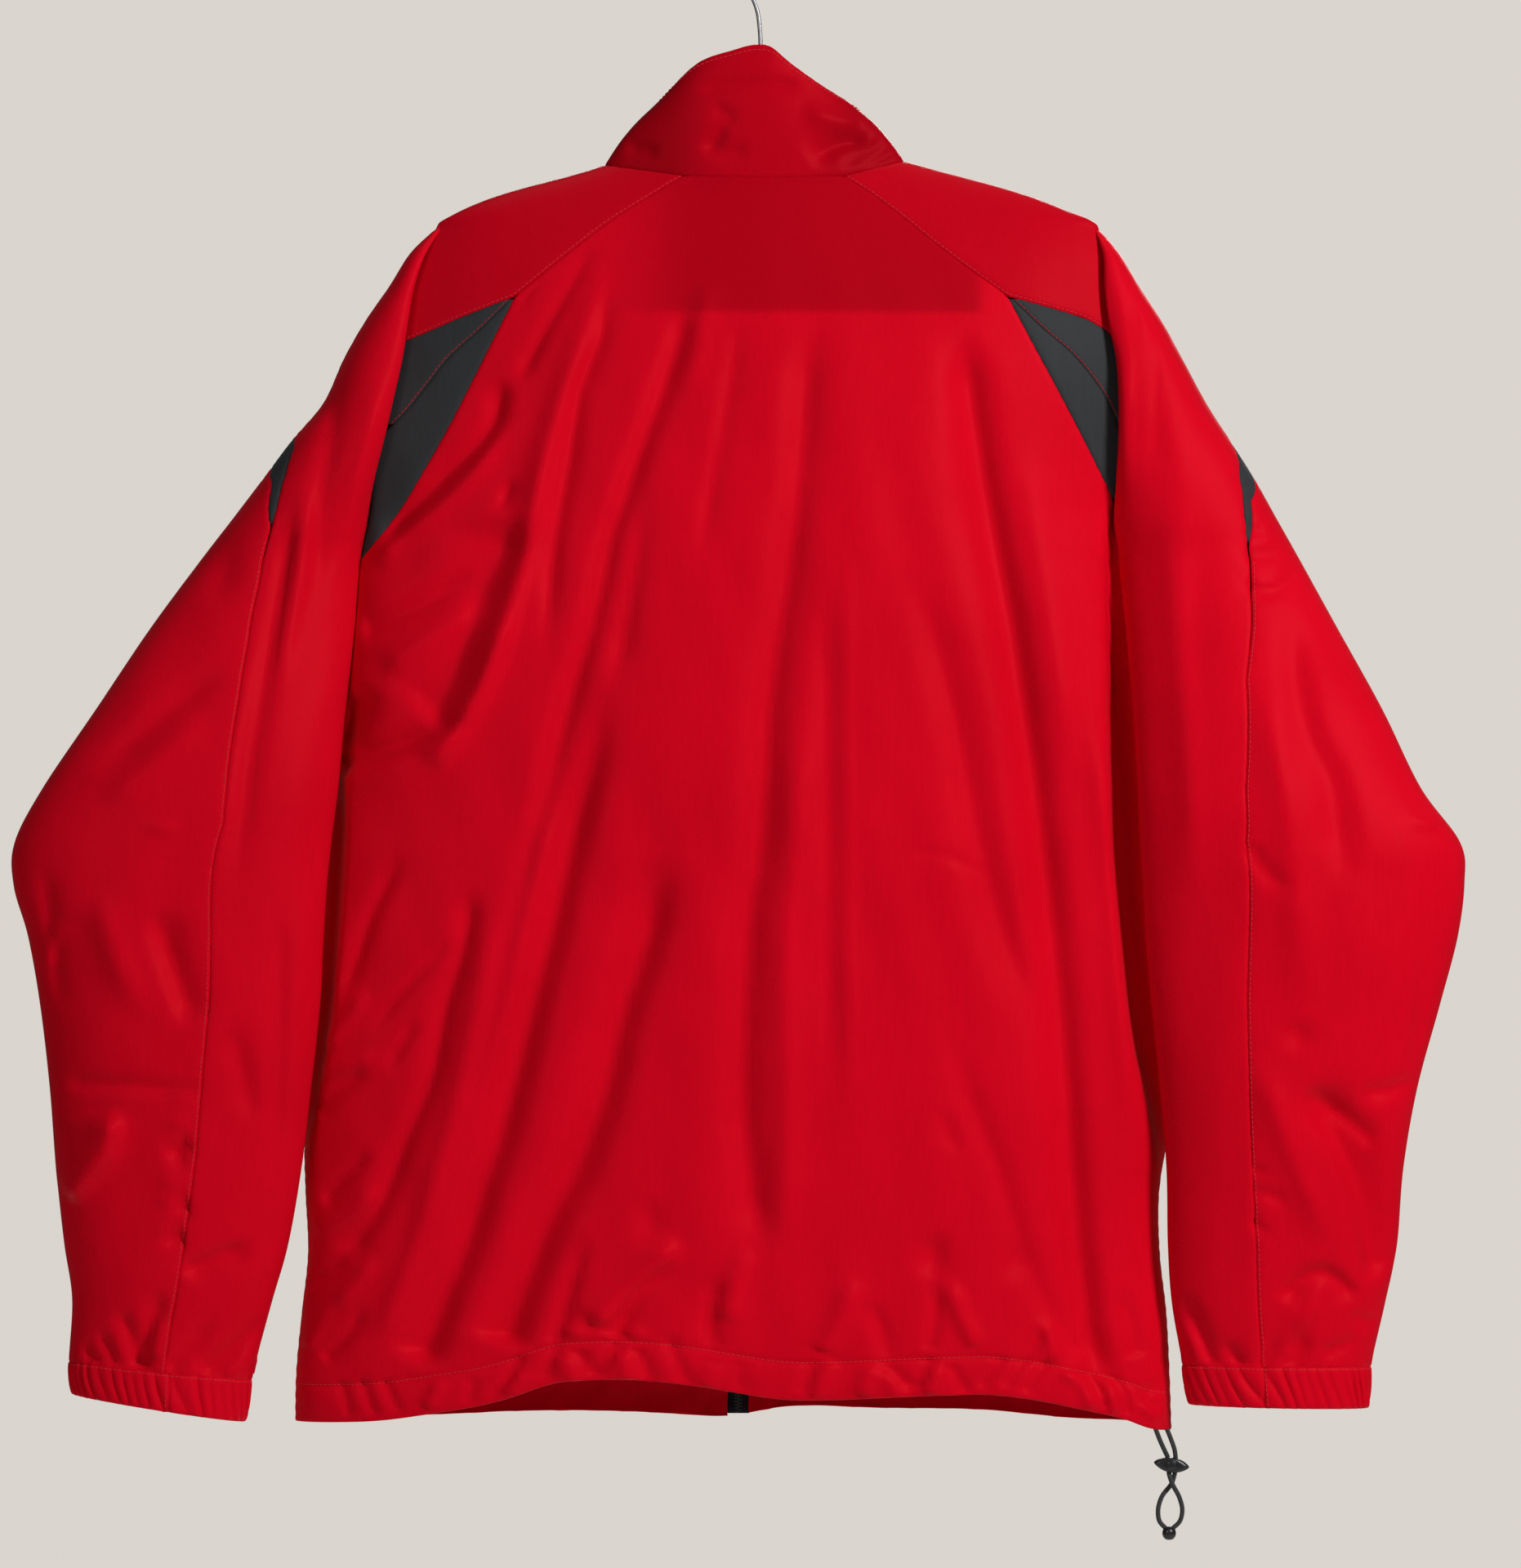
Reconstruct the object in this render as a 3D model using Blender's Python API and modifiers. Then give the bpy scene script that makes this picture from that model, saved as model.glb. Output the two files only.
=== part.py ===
"""A red windbreaker with black inserts, hanging by its wire hook, seen from its back.

The frame is in metres with +Z up. The origin is the inside top of the hanger's hook. The garment's
back faces -Y, its front +Y, and +X is the wearer's right. Tables are in millimetres and read
from the top of the garment down.
"""

import math

import bmesh
import bpy
import numpy as np
from mathutils import Vector

MM = 0.001

# Cloth thicknesses and gaps, in millimetres.
CLOTH = 1.2
COLLAR_CLOTH = 2.0
CUFF_CLOTH = 1.6
SEAM_GAP = 0.3
COLLAR_LIFT = 0.9

# Shoulders: the ridge that lies over the hanger, how the cloth falls from it, and where each
# yoke's ridge starts and ends across.
RIDGE_ROUNDING = 5.0
RIDGE_LEAN = 0.3
YOKE_STEPS = 5
YOKE_NECK = {"left": -90.0, "right": 84.0}
YOKE_TIP = {"left": -189.0, "right": 199.0}

# Cuffs: gathers round each, and how far they swell and ripple.
GATHERS = 26
GATHER_DEPTH = 0.9
CUFF_SWELL = (1.0, 1.5)

# Hanger.
BAR_RADIUS = 4.2
BAR_DROP = 5.8
BAR_SHORT = 15.0
BAR_TOP = -128.0
WIRE_RADIUS = 1.3
HOOK_RADIUS = 20.0

# Zip: tape and chain, the box at its foot, the slider with its bridge, and the pull tab.
ZIP_HALF_WIDTH = 6.2
ZIP_THICKNESS = 1.8
ZIP_BOX = {"half_width": 4.5, "low": 0.5, "high": 12.0, "thick": 2.6}
SLIDER = {"half_width": 4.3, "half_height": 5.2, "thick": 2.6}
BRIDGE = {"inner": 1.15, "outer": 2.35, "half_width": 1.0, "steps": 10}
TAB_BAR = 0.65
TAB_OUTLINE = [(-2.6, 0.65), (2.6, 0.65), (3.6, -1.0), (3.6, -3.6), (2.9, -6.0), (3.4, -19.0),
               (2.2, -22.0), (-2.2, -22.0), (-3.4, -19.0), (-2.9, -6.0), (-3.6, -3.6),
               (-3.6, -1.0)]
TAB_WINDOW = [(-1.6, -0.65), (1.6, -0.65), (1.6, -3.4), (-1.6, -3.4)]

# Hem cord: its two strands run from the casing through the lock, cross, and end in the bead.
CORD_RADIUS = 1.4
LOCK_CENTRE = (241.4, -13.0, -909.8)
LOCK = {"half_length": 10.45, "half_height": 4.1, "half_depth": 4.0, "tilt": -8.0, "steps": 20,
        "squareness": 0.9, "bevel": 1.0}
LOCK_SLOT = {"x": (237.7, 245.4), "half_depth": 1.8}
BEAD_CENTRE = (240.0, -13.0, -949.8)
BEAD_RADIUS = 4.0
LEFT_STRAND = [(231.8, -17.3, -888.2), (234.4, -15.6, -895), (237.6, -13.6, -902),
               (239.4, -13, -906), (239.6, -13, -910), (239.8, -13, -914), (241.6, -15.0, -920.4),
               (246.0, -14.6, -929), (247.7, -13.4, -937), (246.2, -13, -943),
               (242.9, -13, -946.5)]
RIGHT_STRAND = [(238.8, -10.6, -889.0), (241.2, -11.4, -895), (243.4, -12.6, -902),
                (243.8, -13, -906), (243.6, -13, -910), (243.4, -13, -914),
                (241.8, -11.0, -920.4), (235.6, -11.4, -929), (233.5, -12.6, -937),
                (234.4, -13, -943), (237.1, -13, -946.5)]


def columns(names, rows):
    """A table with named columns."""
    return dict(zip(names.split(), np.array(rows, dtype=float).T))


SHOULDER = columns("x z", [
    (-262, -262), (-206, -196), (-189, -181.5), (-181, -177), (-98, -149.8), (0, -119),
    (85, -145), (177.6, -173), (199, -183), (212, -197), (262, -262)])

# The torso's side edges below the armholes.
SIDES = columns("z left right", [
    (-380, -232.5, 209.5), (-405, -234.0, 211.5), (-439, -238, 215.2), (-473, -242, 218.0),
    (-500, -246.5, 221.5), (-540, -253, 225.5), (-590, -257.5, 228.5), (-659, -264, 235),
    (-722, -269, 241), (-749, -270, 242), (-799, -268.5, 242), (-836, -270, 241.5),
    (-888, -272.5, 241)])

# How far the back and the front stand from the middle, and how round the sides are.
TORSO = columns("z depth roundness", [
    (-140, 38, 1.0), (-183, 42, 1.0), (-250, 46, 1.0), (-330, 49, 1.0), (-380, 50, 1.7),
    (-420, 51, 2.3), (-600, 52, 2.5), (-800, 50, 2.5), (-888, 48, 2.5)])

# Sleeve sections, from the shoulder's tip to the cuff's end. inner and outer are the two
# silhouette points; depth is half the tube; fold is how far the inner fold stands towards the
# viewer; armhole is half the armhole's width; under is how far the torso's edge runs under the
# fold; step parts the two at the seam; lap is how far the fold turns in, in radians.
SLEEVE_NAMES = "inner_x inner_z outer_x outer_z depth fold armhole under step lap middle"
SLEEVES = {
    "left": columns(SLEEVE_NAMES, [
        (-190, -184, -195, -186, 6, 5, 2.5, 0.3, 1.2, 0.5, 0),
        (-196, -200, -205, -199, 12, 10, 5, 1.5, 2.0, 0.5, 0),
        (-202.5, -220, -217, -218, 17, 14.5, 8, 2.5, 2.0, 0.5, 0),
        (-206, -241, -231.5, -239, 21, 17.5, 10, 2.5, 2.0, 0.5, 0),
        (-209, -262, -244, -261, 25, 19.5, 12, 2.5, 2.0, 0.5, 0),
        (-214.5, -287, -256, -287, 28, 20.5, 13, 2.5, 2.0, 0.5, 0),
        (-220, -310, -274.5, -309, 30, 19.5, 12, 2.5, 2.0, 0.5, 0),
        (-226, -332, -291, -331, 31, 16, 9, 1.8, 2.0, 0.5, 0),
        (-231.5, -356, -310, -356, 31, 8, 4, -1.0, 1.7, 0.35, 0),
        (-234, -380, -328.5, -380, 31, 0, 0, -1.5, 1.5, 0, 0),
        (-237.5, -420, -357.5, -420, 32, 0, 0, 0, 0, 0, -7),
        (-242.5, -467, -388, -467, 33, 0, 0, 0, 0, 0, -20),
        (-246.5, -513, -418.5, -513, 34, 0, 0, 0, 0, 0, -27),
        (-250.5, -545, -435, -545, 35, 0, 0, 0, 0, 0, -28),
        (-253, -570, -435.5, -570, 35, 0, 0, 0, 0, 0, -28),
        (-255, -600, -427, -600, 35, 0, 0, 0, 0, 0, -28),
        (-257, -640, -420, -640, 34, 0, 0, 0, 0, 0, -28),
        (-262.5, -690, -414.5, -688, 33, 0, 0, 0, 0, 0, -27),
        (-268, -735, -411, -735, 31, 0, 0, 0, 0, 0, -25),
        (-276, -780, -406.5, -779, 29, 0, 0, 0, 0, 0, -22),
        (-286, -815, -402, -812, 27, 0, 0, 0, 0, 0, -20),
        (-298, -860, -404, -849, 24, 0, 0, 0, 0, 0, -18),
        (-302, -884, -402, -868, 23, 0, 0, 0, 0, 0, -18)]),
    "right": columns(SLEEVE_NAMES, [
        (200, -185, 204, -187, 6, 5, 2.5, 0.3, 1.2, 0.5, 0),
        (201.5, -200, 211, -199, 12, 10, 5, 1.5, 2.0, 0.5, 0),
        (202, -220, 222.5, -218, 17, 14.5, 8, 2.5, 2.0, 0.5, 0),
        (204.5, -241, 236, -239, 21, 17.5, 10, 2.5, 2.0, 0.5, 0),
        (208.5, -262, 248, -261, 25, 19.5, 12, 2.5, 2.0, 0.5, 0),
        (210, -287, 262, -287, 28, 20.5, 13, 2.5, 2.0, 0.5, 0),
        (210, -310, 276, -309, 30, 19.5, 12, 2.5, 2.0, 0.5, 0),
        (209.5, -332, 290, -331, 31, 16, 9, 1.8, 2.0, 0.5, 0),
        (209.5, -356, 304, -356, 31, 8, 4, -1.0, 1.7, 0.35, 0),
        (211, -380, 317.5, -380, 31, 0, 0, -1.5, 1.5, 0, 0),
        (215, -420, 339, -420, 32, 0, 0, 0, 0, 0, -7),
        (218.5, -467, 364, -467, 33, 0, 0, 0, 0, 0, -20),
        (221, -513, 386, -513, 34, 0, 0, 0, 0, 0, -27),
        (222.5, -545, 409, -545, 35, 0, 0, 0, 0, 0, -28),
        (224, -570, 411.5, -568, 35, 0, 0, 0, 0, 0, -28),
        (225.5, -600, 407.5, -600, 35, 0, 0, 0, 0, 0, -28),
        (229, -640, 397, -640, 34, 0, 0, 0, 0, 0, -28),
        (234, -690, 384, -688, 33, 0, 0, 0, 0, 0, -27),
        (238, -735, 376, -735, 31, 0, 0, 0, 0, 0, -25),
        (239, -780, 372.5, -780, 29, 0, 0, 0, 0, 0, -22),
        (241.5, -815, 365.5, -815, 27, 0, 0, 0, 0, 0, -20),
        (248, -851, 357.5, -852, 24, 0, 0, 0, 0, 0, -18),
        (252, -874, 356, -876, 23, 0, 0, 0, 0, 0, -18)]),
}
ARMPIT_ROW = 9
CUFF_ROW = 21
CUFF_END_ROW = 22
SLEEVE_ROWS = [0, 1, 2, 2.5, 3, 3.5, 4, 4.5, 5, 5.5, 6, 6.5, 7, 7.5, 8, 8.5, 9, 10, 11, 12, 13, 14,
               16, 18, 20, CUFF_ROW]

# Seams on the torso: each is the across value at a height, on the back.
RAGLAN = {
    "left": columns("z x", [(-154, -44), (-167, -65), (-181, -87), (-197, -108),
                            (-211, -125.5), (-225.5, -143)]),
    "right": columns("z x", [(-154, 49), (-167, 68), (-181, 86), (-197, 105.6),
                             (-211, 124.5), (-225.5, 145)]),
}
PANEL_EDGE = {
    "left": columns("z x", [(-225.5, -143), (-251, -156), (-273, -167), (-300, -181),
                            (-328, -197), (-350, -210), (-366, -220), (-380, -232.5)]),
    "right": columns("z x", [(-225.5, 145), (-251, 159), (-273, 172), (-300, 185.5),
                             (-328, 197.5), (-350, 203), (-366, 205), (-380, 209.5)]),
}
INSERT_TOP = {
    "left": columns("z x", [(-225.5, -143), (-232, -160), (-238, -176), (-245, -192.5),
                            (-252, -210)]),
    "right": columns("z x", [(-225.5, 145), (-232, 170), (-238, 191), (-245, 204),
                             (-252, 209)]),
}
INSERT_SEAM = {
    "left": columns("z x", [(-225.5, -144), (-246, -165), (-260, -181), (-276, -194),
                            (-292, -207), (-306, -221.5)]),
    "right": columns("z x", [(-225.5, 146), (-245, 166.6), (-257, 181), (-271, 193.5),
                             (-291, 206.5), (-306, 212.5)]),
}
FRONT_RAGLAN = {
    "left": columns("z x", [(-181, -62), (-189, -76), (-197, -91), (-207, -109), (-216, -126),
                            (-225.5, -143)]),
    "right": columns("z x", [(-181, 60), (-189, 75), (-197, 91), (-207, 110), (-216, 127),
                             (-225.5, 145)]),
}

# Where the black crescent starts and ends round the sleeve: half turns from the inner fold,
# over the back (0.5), the outline (1) and the front (1.5) to the front armhole (2.2).
CRESCENT = {
    "left": {
        "upper": columns("z turn", [(-207, 2.2), (-238, 1.75), (-272, 1.35), (-305, 1.0)]),
        "lower": columns("z turn", [(-256, 2.2), (-280, 1.75), (-302, 1.35), (-324, 1.0)]),
        "upper_back": columns("z x", [(-328, -275), (-348, -280.5), (-361, -285)]),
        "lower_back": columns("z x", [(-335, -285.2), (-361, -285.8)])},
    "right": {
        "upper": columns("z turn", [(-207, 2.2), (-238, 1.75), (-274, 1.35), (-310, 1.0)]),
        "lower": columns("z turn", [(-258, 2.2), (-284, 1.75), (-308, 1.35), (-330, 1.0)]),
        "upper_back": columns("z x", [(-330, 281), (-352, 283.4), (-373, 285.2)]),
        "lower_back": columns("z x", [(-345, 287.8), (-373, 286)])},
}
SLEEVE_SEAM = {
    "left": columns("z x", [(-361, -285.4), (-393, -292), (-427, -298), (-461, -303),
                            (-532, -311), (-623, -319), (-674, -323), (-727, -327.5),
                            (-765, -333), (-820, -342), (-881, -347)]),
    "right": columns("z x", [(-373, 285.4), (-450, 283), (-543, 282), (-636, 283),
                             (-722, 285.5), (-799, 289.4), (-853, 293.3), (-880, 295)]),
}

# The hem's edge across the back and the front.
BACK_HEM = columns("x z", [
    (-273, -884), (-247, -886), (-192, -880), (-154, -874), (-121, -864.5), (-101, -860.8),
    (-71, -860.6), (-41, -864), (-11, -869.5), (18, -873), (50, -872), (95, -870.7),
    (128, -870), (161, -873.6), (194, -879.6), (216, -885), (241, -888)])
FRONT_HEM = columns("x z", [
    (-273, -884), (-220, -881), (-162, -879), (-101, -879), (-20, -881.5), (14, -878),
    (50, -877.5), (106, -879.5), (161, -882), (205, -885), (241, -888)])
HEM_START = -700.0
HEM_NOMINAL = -880.0
CASING = 25.0
CASING_PUFF = 1.2

# The zip's line, and the neckline: the collar's base on the back and the front.
ZIP_LINE = columns("z x", [(-170, 0), (-236, 0), (-420, -4), (-640, -9), (-890, -13)])
NECK_BACK = columns("x z", [(-44, -154), (-20, -154.6), (0, -154.8), (25, -154.6), (49, -154)])
NECK_FRONT = {
    "left": columns("x z", [(-62, -181), (-48, -202), (-29, -220), (-6.5, -232)]),
    "right": columns("x z", [(6.5, -232), (29, -220), (47, -202), (60, -181)]),
}

# The collar's top edge, from its left front end round the back to its right front end.
COLLAR_TOP = columns("share x y z", [
    (-1.00, -6.8, 47, -170), (-0.88, -28, 44, -165), (-0.75, -52, 34, -151),
    (-0.62, -67, 19, -136), (-0.50, -66, 5, -121), (-0.40, -54, -6, -106),
    (-0.28, -36, -16, -88.5), (-0.15, -15, -21, -81), (-0.03, -2, -22, -78),
    (0.05, 6, -22, -79), (0.14, 17, -20.5, -88), (0.27, 36, -16, -101.5),
    (0.40, 55, -6, -113.5), (0.50, 63, 5, -123), (0.62, 64, 19, -136),
    (0.75, 50, 34, -151), (0.88, 28, 44, -165), (1.00, 6.8, 47, -170)])
COLLAR_BULGE = 2.5

# Folds: routes in across and height, how deep (valleys) or how high (ridges) and how wide.
BACK_FOLDS = [
    {"route": [(-89, -187), (-127, -254), (-166, -305), (-214, -354)], "rise": -10, "width": 14},
    {"route": [(-98, -216), (-139, -338), (-166, -497), (-191, -624)], "rise": 5, "width": 15},
    {"route": [(-140, -407), (-159, -427), (-191, -465), (-228, -494)], "rise": -10, "width": 13},
    {"route": [(-159, -382), (-200, -410), (-222, -428)], "rise": 5, "width": 12},
    {"route": [(-63, -261), (-102, -433), (-127, -592), (-166, -752), (-191, -848)],
     "rise": -8, "width": 14},
    {"route": [(-57, -580), (-89, -720), (-121, -816), (-140, -860)], "rise": -9, "width": 14},
    {"route": [(-166, -592), (-191, -688), (-210, -790)], "rise": -6, "width": 13},
    {"route": [(10, -241), (13, -433), (-6, -624), (0, -800)], "rise": -5, "width": 20},
    {"route": [(60, -300), (75, -500), (80, -700), (88, -840)], "rise": 4, "width": 28},
    {"route": [(-35, -400), (-48, -600), (-70, -780)], "rise": 4, "width": 18},
    {"route": [(128, -241), (147, -337), (160, -465), (179, -592), (192, -720), (204, -860)],
     "rise": -10, "width": 15},
]
FRONT_FOLDS = [
    {"route": [(-95, -245), (-120, -400), (-140, -600), (-165, -850)], "rise": -7, "width": 15},
    {"route": [(-50, -320), (-66, -520), (-84, -760)], "rise": -5, "width": 15},
    {"route": [(-200, -470), (-180, -640), (-205, -840)], "rise": -5, "width": 14},
    {"route": [(100, -240), (118, -400), (128, -610), (150, -850)], "rise": -7, "width": 15},
    {"route": [(48, -350), (58, -560), (62, -800)], "rise": -5, "width": 16},
    {"route": [(190, -440), (178, -620), (196, -850)], "rise": -5, "width": 14},
]
SLEEVE_FOLDS = {
    "left": [
        {"route": [(-242, -345), (-268, -420), (-290, -497)], "rise": 4, "width": 13},
        {"route": [(-287, -407), (-299, -529)], "rise": -5, "width": 12},
        {"route": [(-365, -580), (-345, -615), (-332, -656)], "rise": -6, "width": 12},
        {"route": [(-400, -700), (-398, -745)], "rise": -5, "width": 14},
        {"route": [(-300, -640), (-306, -760), (-322, -845)], "rise": -4, "width": 10},
        {"route": [(-370, -770), (-372, -845)], "rise": -4, "width": 10}],
    "right": [
        {"route": [(320, -465), (351, -624)], "rise": -5, "width": 14},
        {"route": [(326, -688), (351, -727), (364, -771)], "rise": -6, "width": 11},
        {"route": [(300, -352), (306, -395)], "rise": -4, "width": 9},
        {"route": [(262, -400), (256, -560), (262, -700)], "rise": -4, "width": 13},
        {"route": [(275, -770), (278, -842)], "rise": -4, "width": 9},
        {"route": [(325, -775), (330, -842)], "rise": -4, "width": 9}],
}

# Heights of the torso's rows. Panels that share a seam use the same rows along it. The yoke's
# seam leaves the panel at YOKE_TURN, runs on over the insert, and meets the armhole at YOKE_END.
YOKE_TURN = -225.5
YOKE_END = -252.0
UPPER_INSERT_FOOT = -286.0
INSERT_LEVELS = [-228.5, -234, -243, -252, -268, -286, -306, -328, -348, -362, -374]
LOW_LEVELS = [-380, -402, -435, -480, -530, -590, -650, -710, -765, -812, -848, -861, -880]
RAGLAN_LEVELS = {"back": [-154, -172, -190, -208, -225.5],
                 "front": [-181, -192, -203, -214, -225.5]}

COLORS = {
    "red cloth": ((0.60, 0.004, 0.016), 0.55, 0.0),
    "black cloth": ((0.028, 0.033, 0.036), 0.6, 0.0),
    "cuff": ((0.52, 0.004, 0.014), 0.62, 0.0),
    "zip tape": ((0.012, 0.012, 0.013), 0.55, 0.0),
    "black plastic": ((0.010, 0.010, 0.011), 0.35, 0.0),
    "cord": ((0.014, 0.014, 0.015), 0.7, 0.0),
    "zip metal": ((0.05, 0.05, 0.055), 0.35, 0.8),
    "hanger bar": ((0.62, 0.60, 0.57), 0.4, 0.0),
    "hook wire": ((0.62, 0.62, 0.63), 0.2, 1.0),
}


def smooth(at, knots, values):
    """A smooth line through values at knots, which may run up or down."""
    knots = np.asarray(knots, float)
    values = np.asarray(values, float)
    if knots[0] > knots[-1]:
        knots, values = knots[::-1], values[::-1]
    if len(knots) < 3:
        return np.interp(at, knots, values)
    at = np.clip(np.asarray(at, float), knots[0], knots[-1])
    slope = np.gradient(values, knots)
    i = np.clip(np.searchsorted(knots, at, side="right") - 1, 0, len(knots) - 2)
    span = knots[i + 1] - knots[i]
    t = (at - knots[i]) / span
    return ((2 * t**3 - 3 * t**2 + 1) * values[i] + (t**3 - 2 * t**2 + t) * span * slope[i]
            + (3 * t**2 - 2 * t**3) * values[i + 1] + (t**3 - t**2) * span * slope[i + 1])


def read(table, name, at, key="z"):
    return smooth(at, table[key], table[name])


def ease(t):
    t = np.clip(t, 0.0, 1.0)
    return t * t * (3 - 2 * t)


def outward(side):
    return -1.0 if side == "left" else 1.0


def fold_rise(x, z, folds):
    """How far the folds lift the cloth at a point, in millimetres."""
    total = np.zeros(np.broadcast(x, z).shape)
    for fold in folds:
        route = np.array(fold["route"], float)
        nearest = np.full(total.shape, 1e9)
        for (ax, az), (bx, bz) in zip(route[:-1], route[1:]):
            run = (bx - ax) ** 2 + (bz - az) ** 2
            t = np.clip(((x - ax) * (bx - ax) + (z - az) * (bz - az)) / run, 0, 1)
            nearest = np.minimum(nearest, np.hypot(x - ax - t * (bx - ax),
                                                   z - az - t * (bz - az)))
        total = total + fold["rise"] * np.exp(-(nearest / fold["width"]) ** 2)
    return total


# ---------------------------------------------------------------- the torso


def torso_side(side, z):
    """The torso's side edge: under the sleeve's fold, then the side seam."""
    sleeve = SLEEVES[side]
    arm = slice(0, ARMPIT_ROW)
    edge = sleeve["inner_x"][arm] + outward(side) * sleeve["under"][arm]
    heights = np.concatenate([sleeve["inner_z"][arm], SIDES["z"]])
    return smooth(z, heights, np.concatenate([edge, SIDES[side]]))


def armhole_width(z):
    sleeve = SLEEVES["left"]
    top = slice(0, ARMPIT_ROW + 1)
    width = smooth(z, sleeve["inner_z"][top], sleeve["armhole"][top])
    return np.where(np.asarray(z) < -380, 0.0, np.maximum(width, 0.0))


def torso_depth(x, z, face):
    """How far the cloth stands from the middle, at a point seen from the back or the front."""
    x, z = np.broadcast_arrays(np.asarray(x, float), np.asarray(z, float))
    left, right = torso_side("left", z), torso_side("right", z)
    share = np.clip(np.abs((x - (left + right) / 2) / ((right - left) / 2)), 0, 1)
    depth = read(TORSO, "depth", z)
    roundness = read(TORSO, "roundness", z)
    armhole = armhole_width(z)
    fade = ease((1 - share) / 0.12)
    folds = fold_rise(x, z, BACK_FOLDS if face == "back" else FRONT_FOLDS) * fade
    hem = hem_height(x, face)
    casing = CASING_PUFF * ease((hem + CASING - z) / 3) * np.sin(
        math.pi * np.clip((hem + CASING - z) / CASING, 0, 1)) * ease((1 - share) / 0.05)
    section = armhole + (depth - armhole) * (1 - share**2.5) ** (1 / roundness) + casing
    section = np.maximum(section + folds, armhole * 0.5)
    drop = np.maximum(smooth(x, SHOULDER["x"], SHOULDER["z"]) - z, 1e-4)
    ridge = np.sqrt((RIDGE_LEAN * drop) ** 2 + 2 * RIDGE_ROUNDING * drop)
    return (np.maximum(section, 1e-3) ** -4 + ridge**-4) ** -0.25


def hem_height(x, face):
    table = BACK_HEM if face == "back" else FRONT_HEM
    return smooth(x, table["x"], table["z"])


def follow_hem(x, z, face):
    """The rows' heights, bent towards the hem's own line near the bottom."""
    share = np.clip((HEM_START - z) / (HEM_START - HEM_NOMINAL), 0, 1)
    return z + share**1.5 * (hem_height(x, face) - HEM_NOMINAL)


def torso_point(x, z, face):
    sign = -1.0 if face == "back" else 1.0
    return np.stack([x, sign * torso_depth(x, z, face), z], axis=-1)


def torso_normal(x, z, face):
    step = 0.4
    across = (torso_depth(x + step, z, face) - torso_depth(x - step, z, face)) / (2 * step)
    up = (torso_depth(x, z + step, face) - torso_depth(x, z - step, face)) / (2 * step)
    sign = -1.0 if face == "back" else 1.0
    normal = np.stack([-across, sign * np.ones_like(across), -up], axis=-1)
    return normal / np.linalg.norm(normal, axis=-1, keepdims=True)


def torso_panel(name, face, levels, left, right, count, paint, spread=0.0):
    """A panel of the torso between two seams, each a function of height."""
    across = np.linspace(-1, 1, count + 1)
    if spread:
        across = np.sin(across * spread) / math.sin(spread)
    share = (across + 1) / 2
    grid_z = np.repeat(np.asarray(levels, float)[:, None], count + 1, axis=1)
    height = grid_z.copy()
    for _ in range(3):
        x = left(height) + (right(height) - left(height)) * share
        height = follow_hem(x, grid_z, face)
    x = left(height) + (right(height) - left(height)) * share
    x, height = trim_flat(x, height)
    build_wall(name, torso_point(x, height, face), torso_normal(x, height, face), CLOTH, paint)


def trim_flat(x, z):
    """Moves a panel's border in by half a seam gap, in across and height."""
    points = trim(np.stack([x, np.zeros_like(x), z], axis=-1), SEAM_GAP / 2)
    return points[..., 0], points[..., 2]


def trim(points, gap):
    """Moves a grid's four borders in along its rows and columns, by a gap square to the border."""
    points = points.copy()
    for rows in (points, np.swapaxes(points, 0, 1)):
        for edge, inner in ((0, 1), (-1, -2)):
            step = rows[inner] - rows[edge]
            length = np.maximum(np.linalg.norm(step, axis=-1, keepdims=True), 1e-6)
            along = np.gradient(rows[edge], axis=0)
            along /= np.maximum(np.linalg.norm(along, axis=-1, keepdims=True), 1e-6)
            lean = np.linalg.norm(np.cross(step / length, along), axis=-1, keepdims=True)
            move = np.minimum(gap / np.maximum(lean, 0.2), length * 0.3)
            rows[edge] += step / length * move
    return points


def insert_levels(foot):
    """The insert's rows down to a foot."""
    return [z for z in INSERT_LEVELS if z >= foot]


def insert_top(side, z):
    """The upper border of an insert: the yoke's seam, then the armhole."""
    table = INSERT_TOP[side]
    seam = np.interp(-np.asarray(z, float), -table["z"], table["x"])
    return np.where(z > YOKE_END, seam, torso_side(side, z))


def panel_edge(side, z):
    """The seam between a panel and its insert, straight from row to row."""
    rows = np.array([YOKE_TURN, *INSERT_LEVELS, LOW_LEVELS[0]], dtype=float)
    return np.interp(-np.asarray(z, float), -rows, read(PANEL_EDGE[side], "x", rows))


# ---------------------------------------------------------------- the sleeves


def sleeve_value(side, name, row):
    table = SLEEVES[side][name]
    value = smooth(row, np.arange(len(table)), table)
    if name in ("fold", "armhole", "lap", "step"):
        value = np.where(np.asarray(row) >= ARMPIT_ROW, 0.0, np.maximum(value, 0.0))
    return value


def sleeve_row(side, z):
    """The row number whose middle is at a height."""
    table = SLEEVES[side]
    middles = (table["inner_z"] + table["outer_z"]) / 2
    return np.interp(-np.asarray(z, float), -middles, np.arange(len(middles)))


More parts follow.
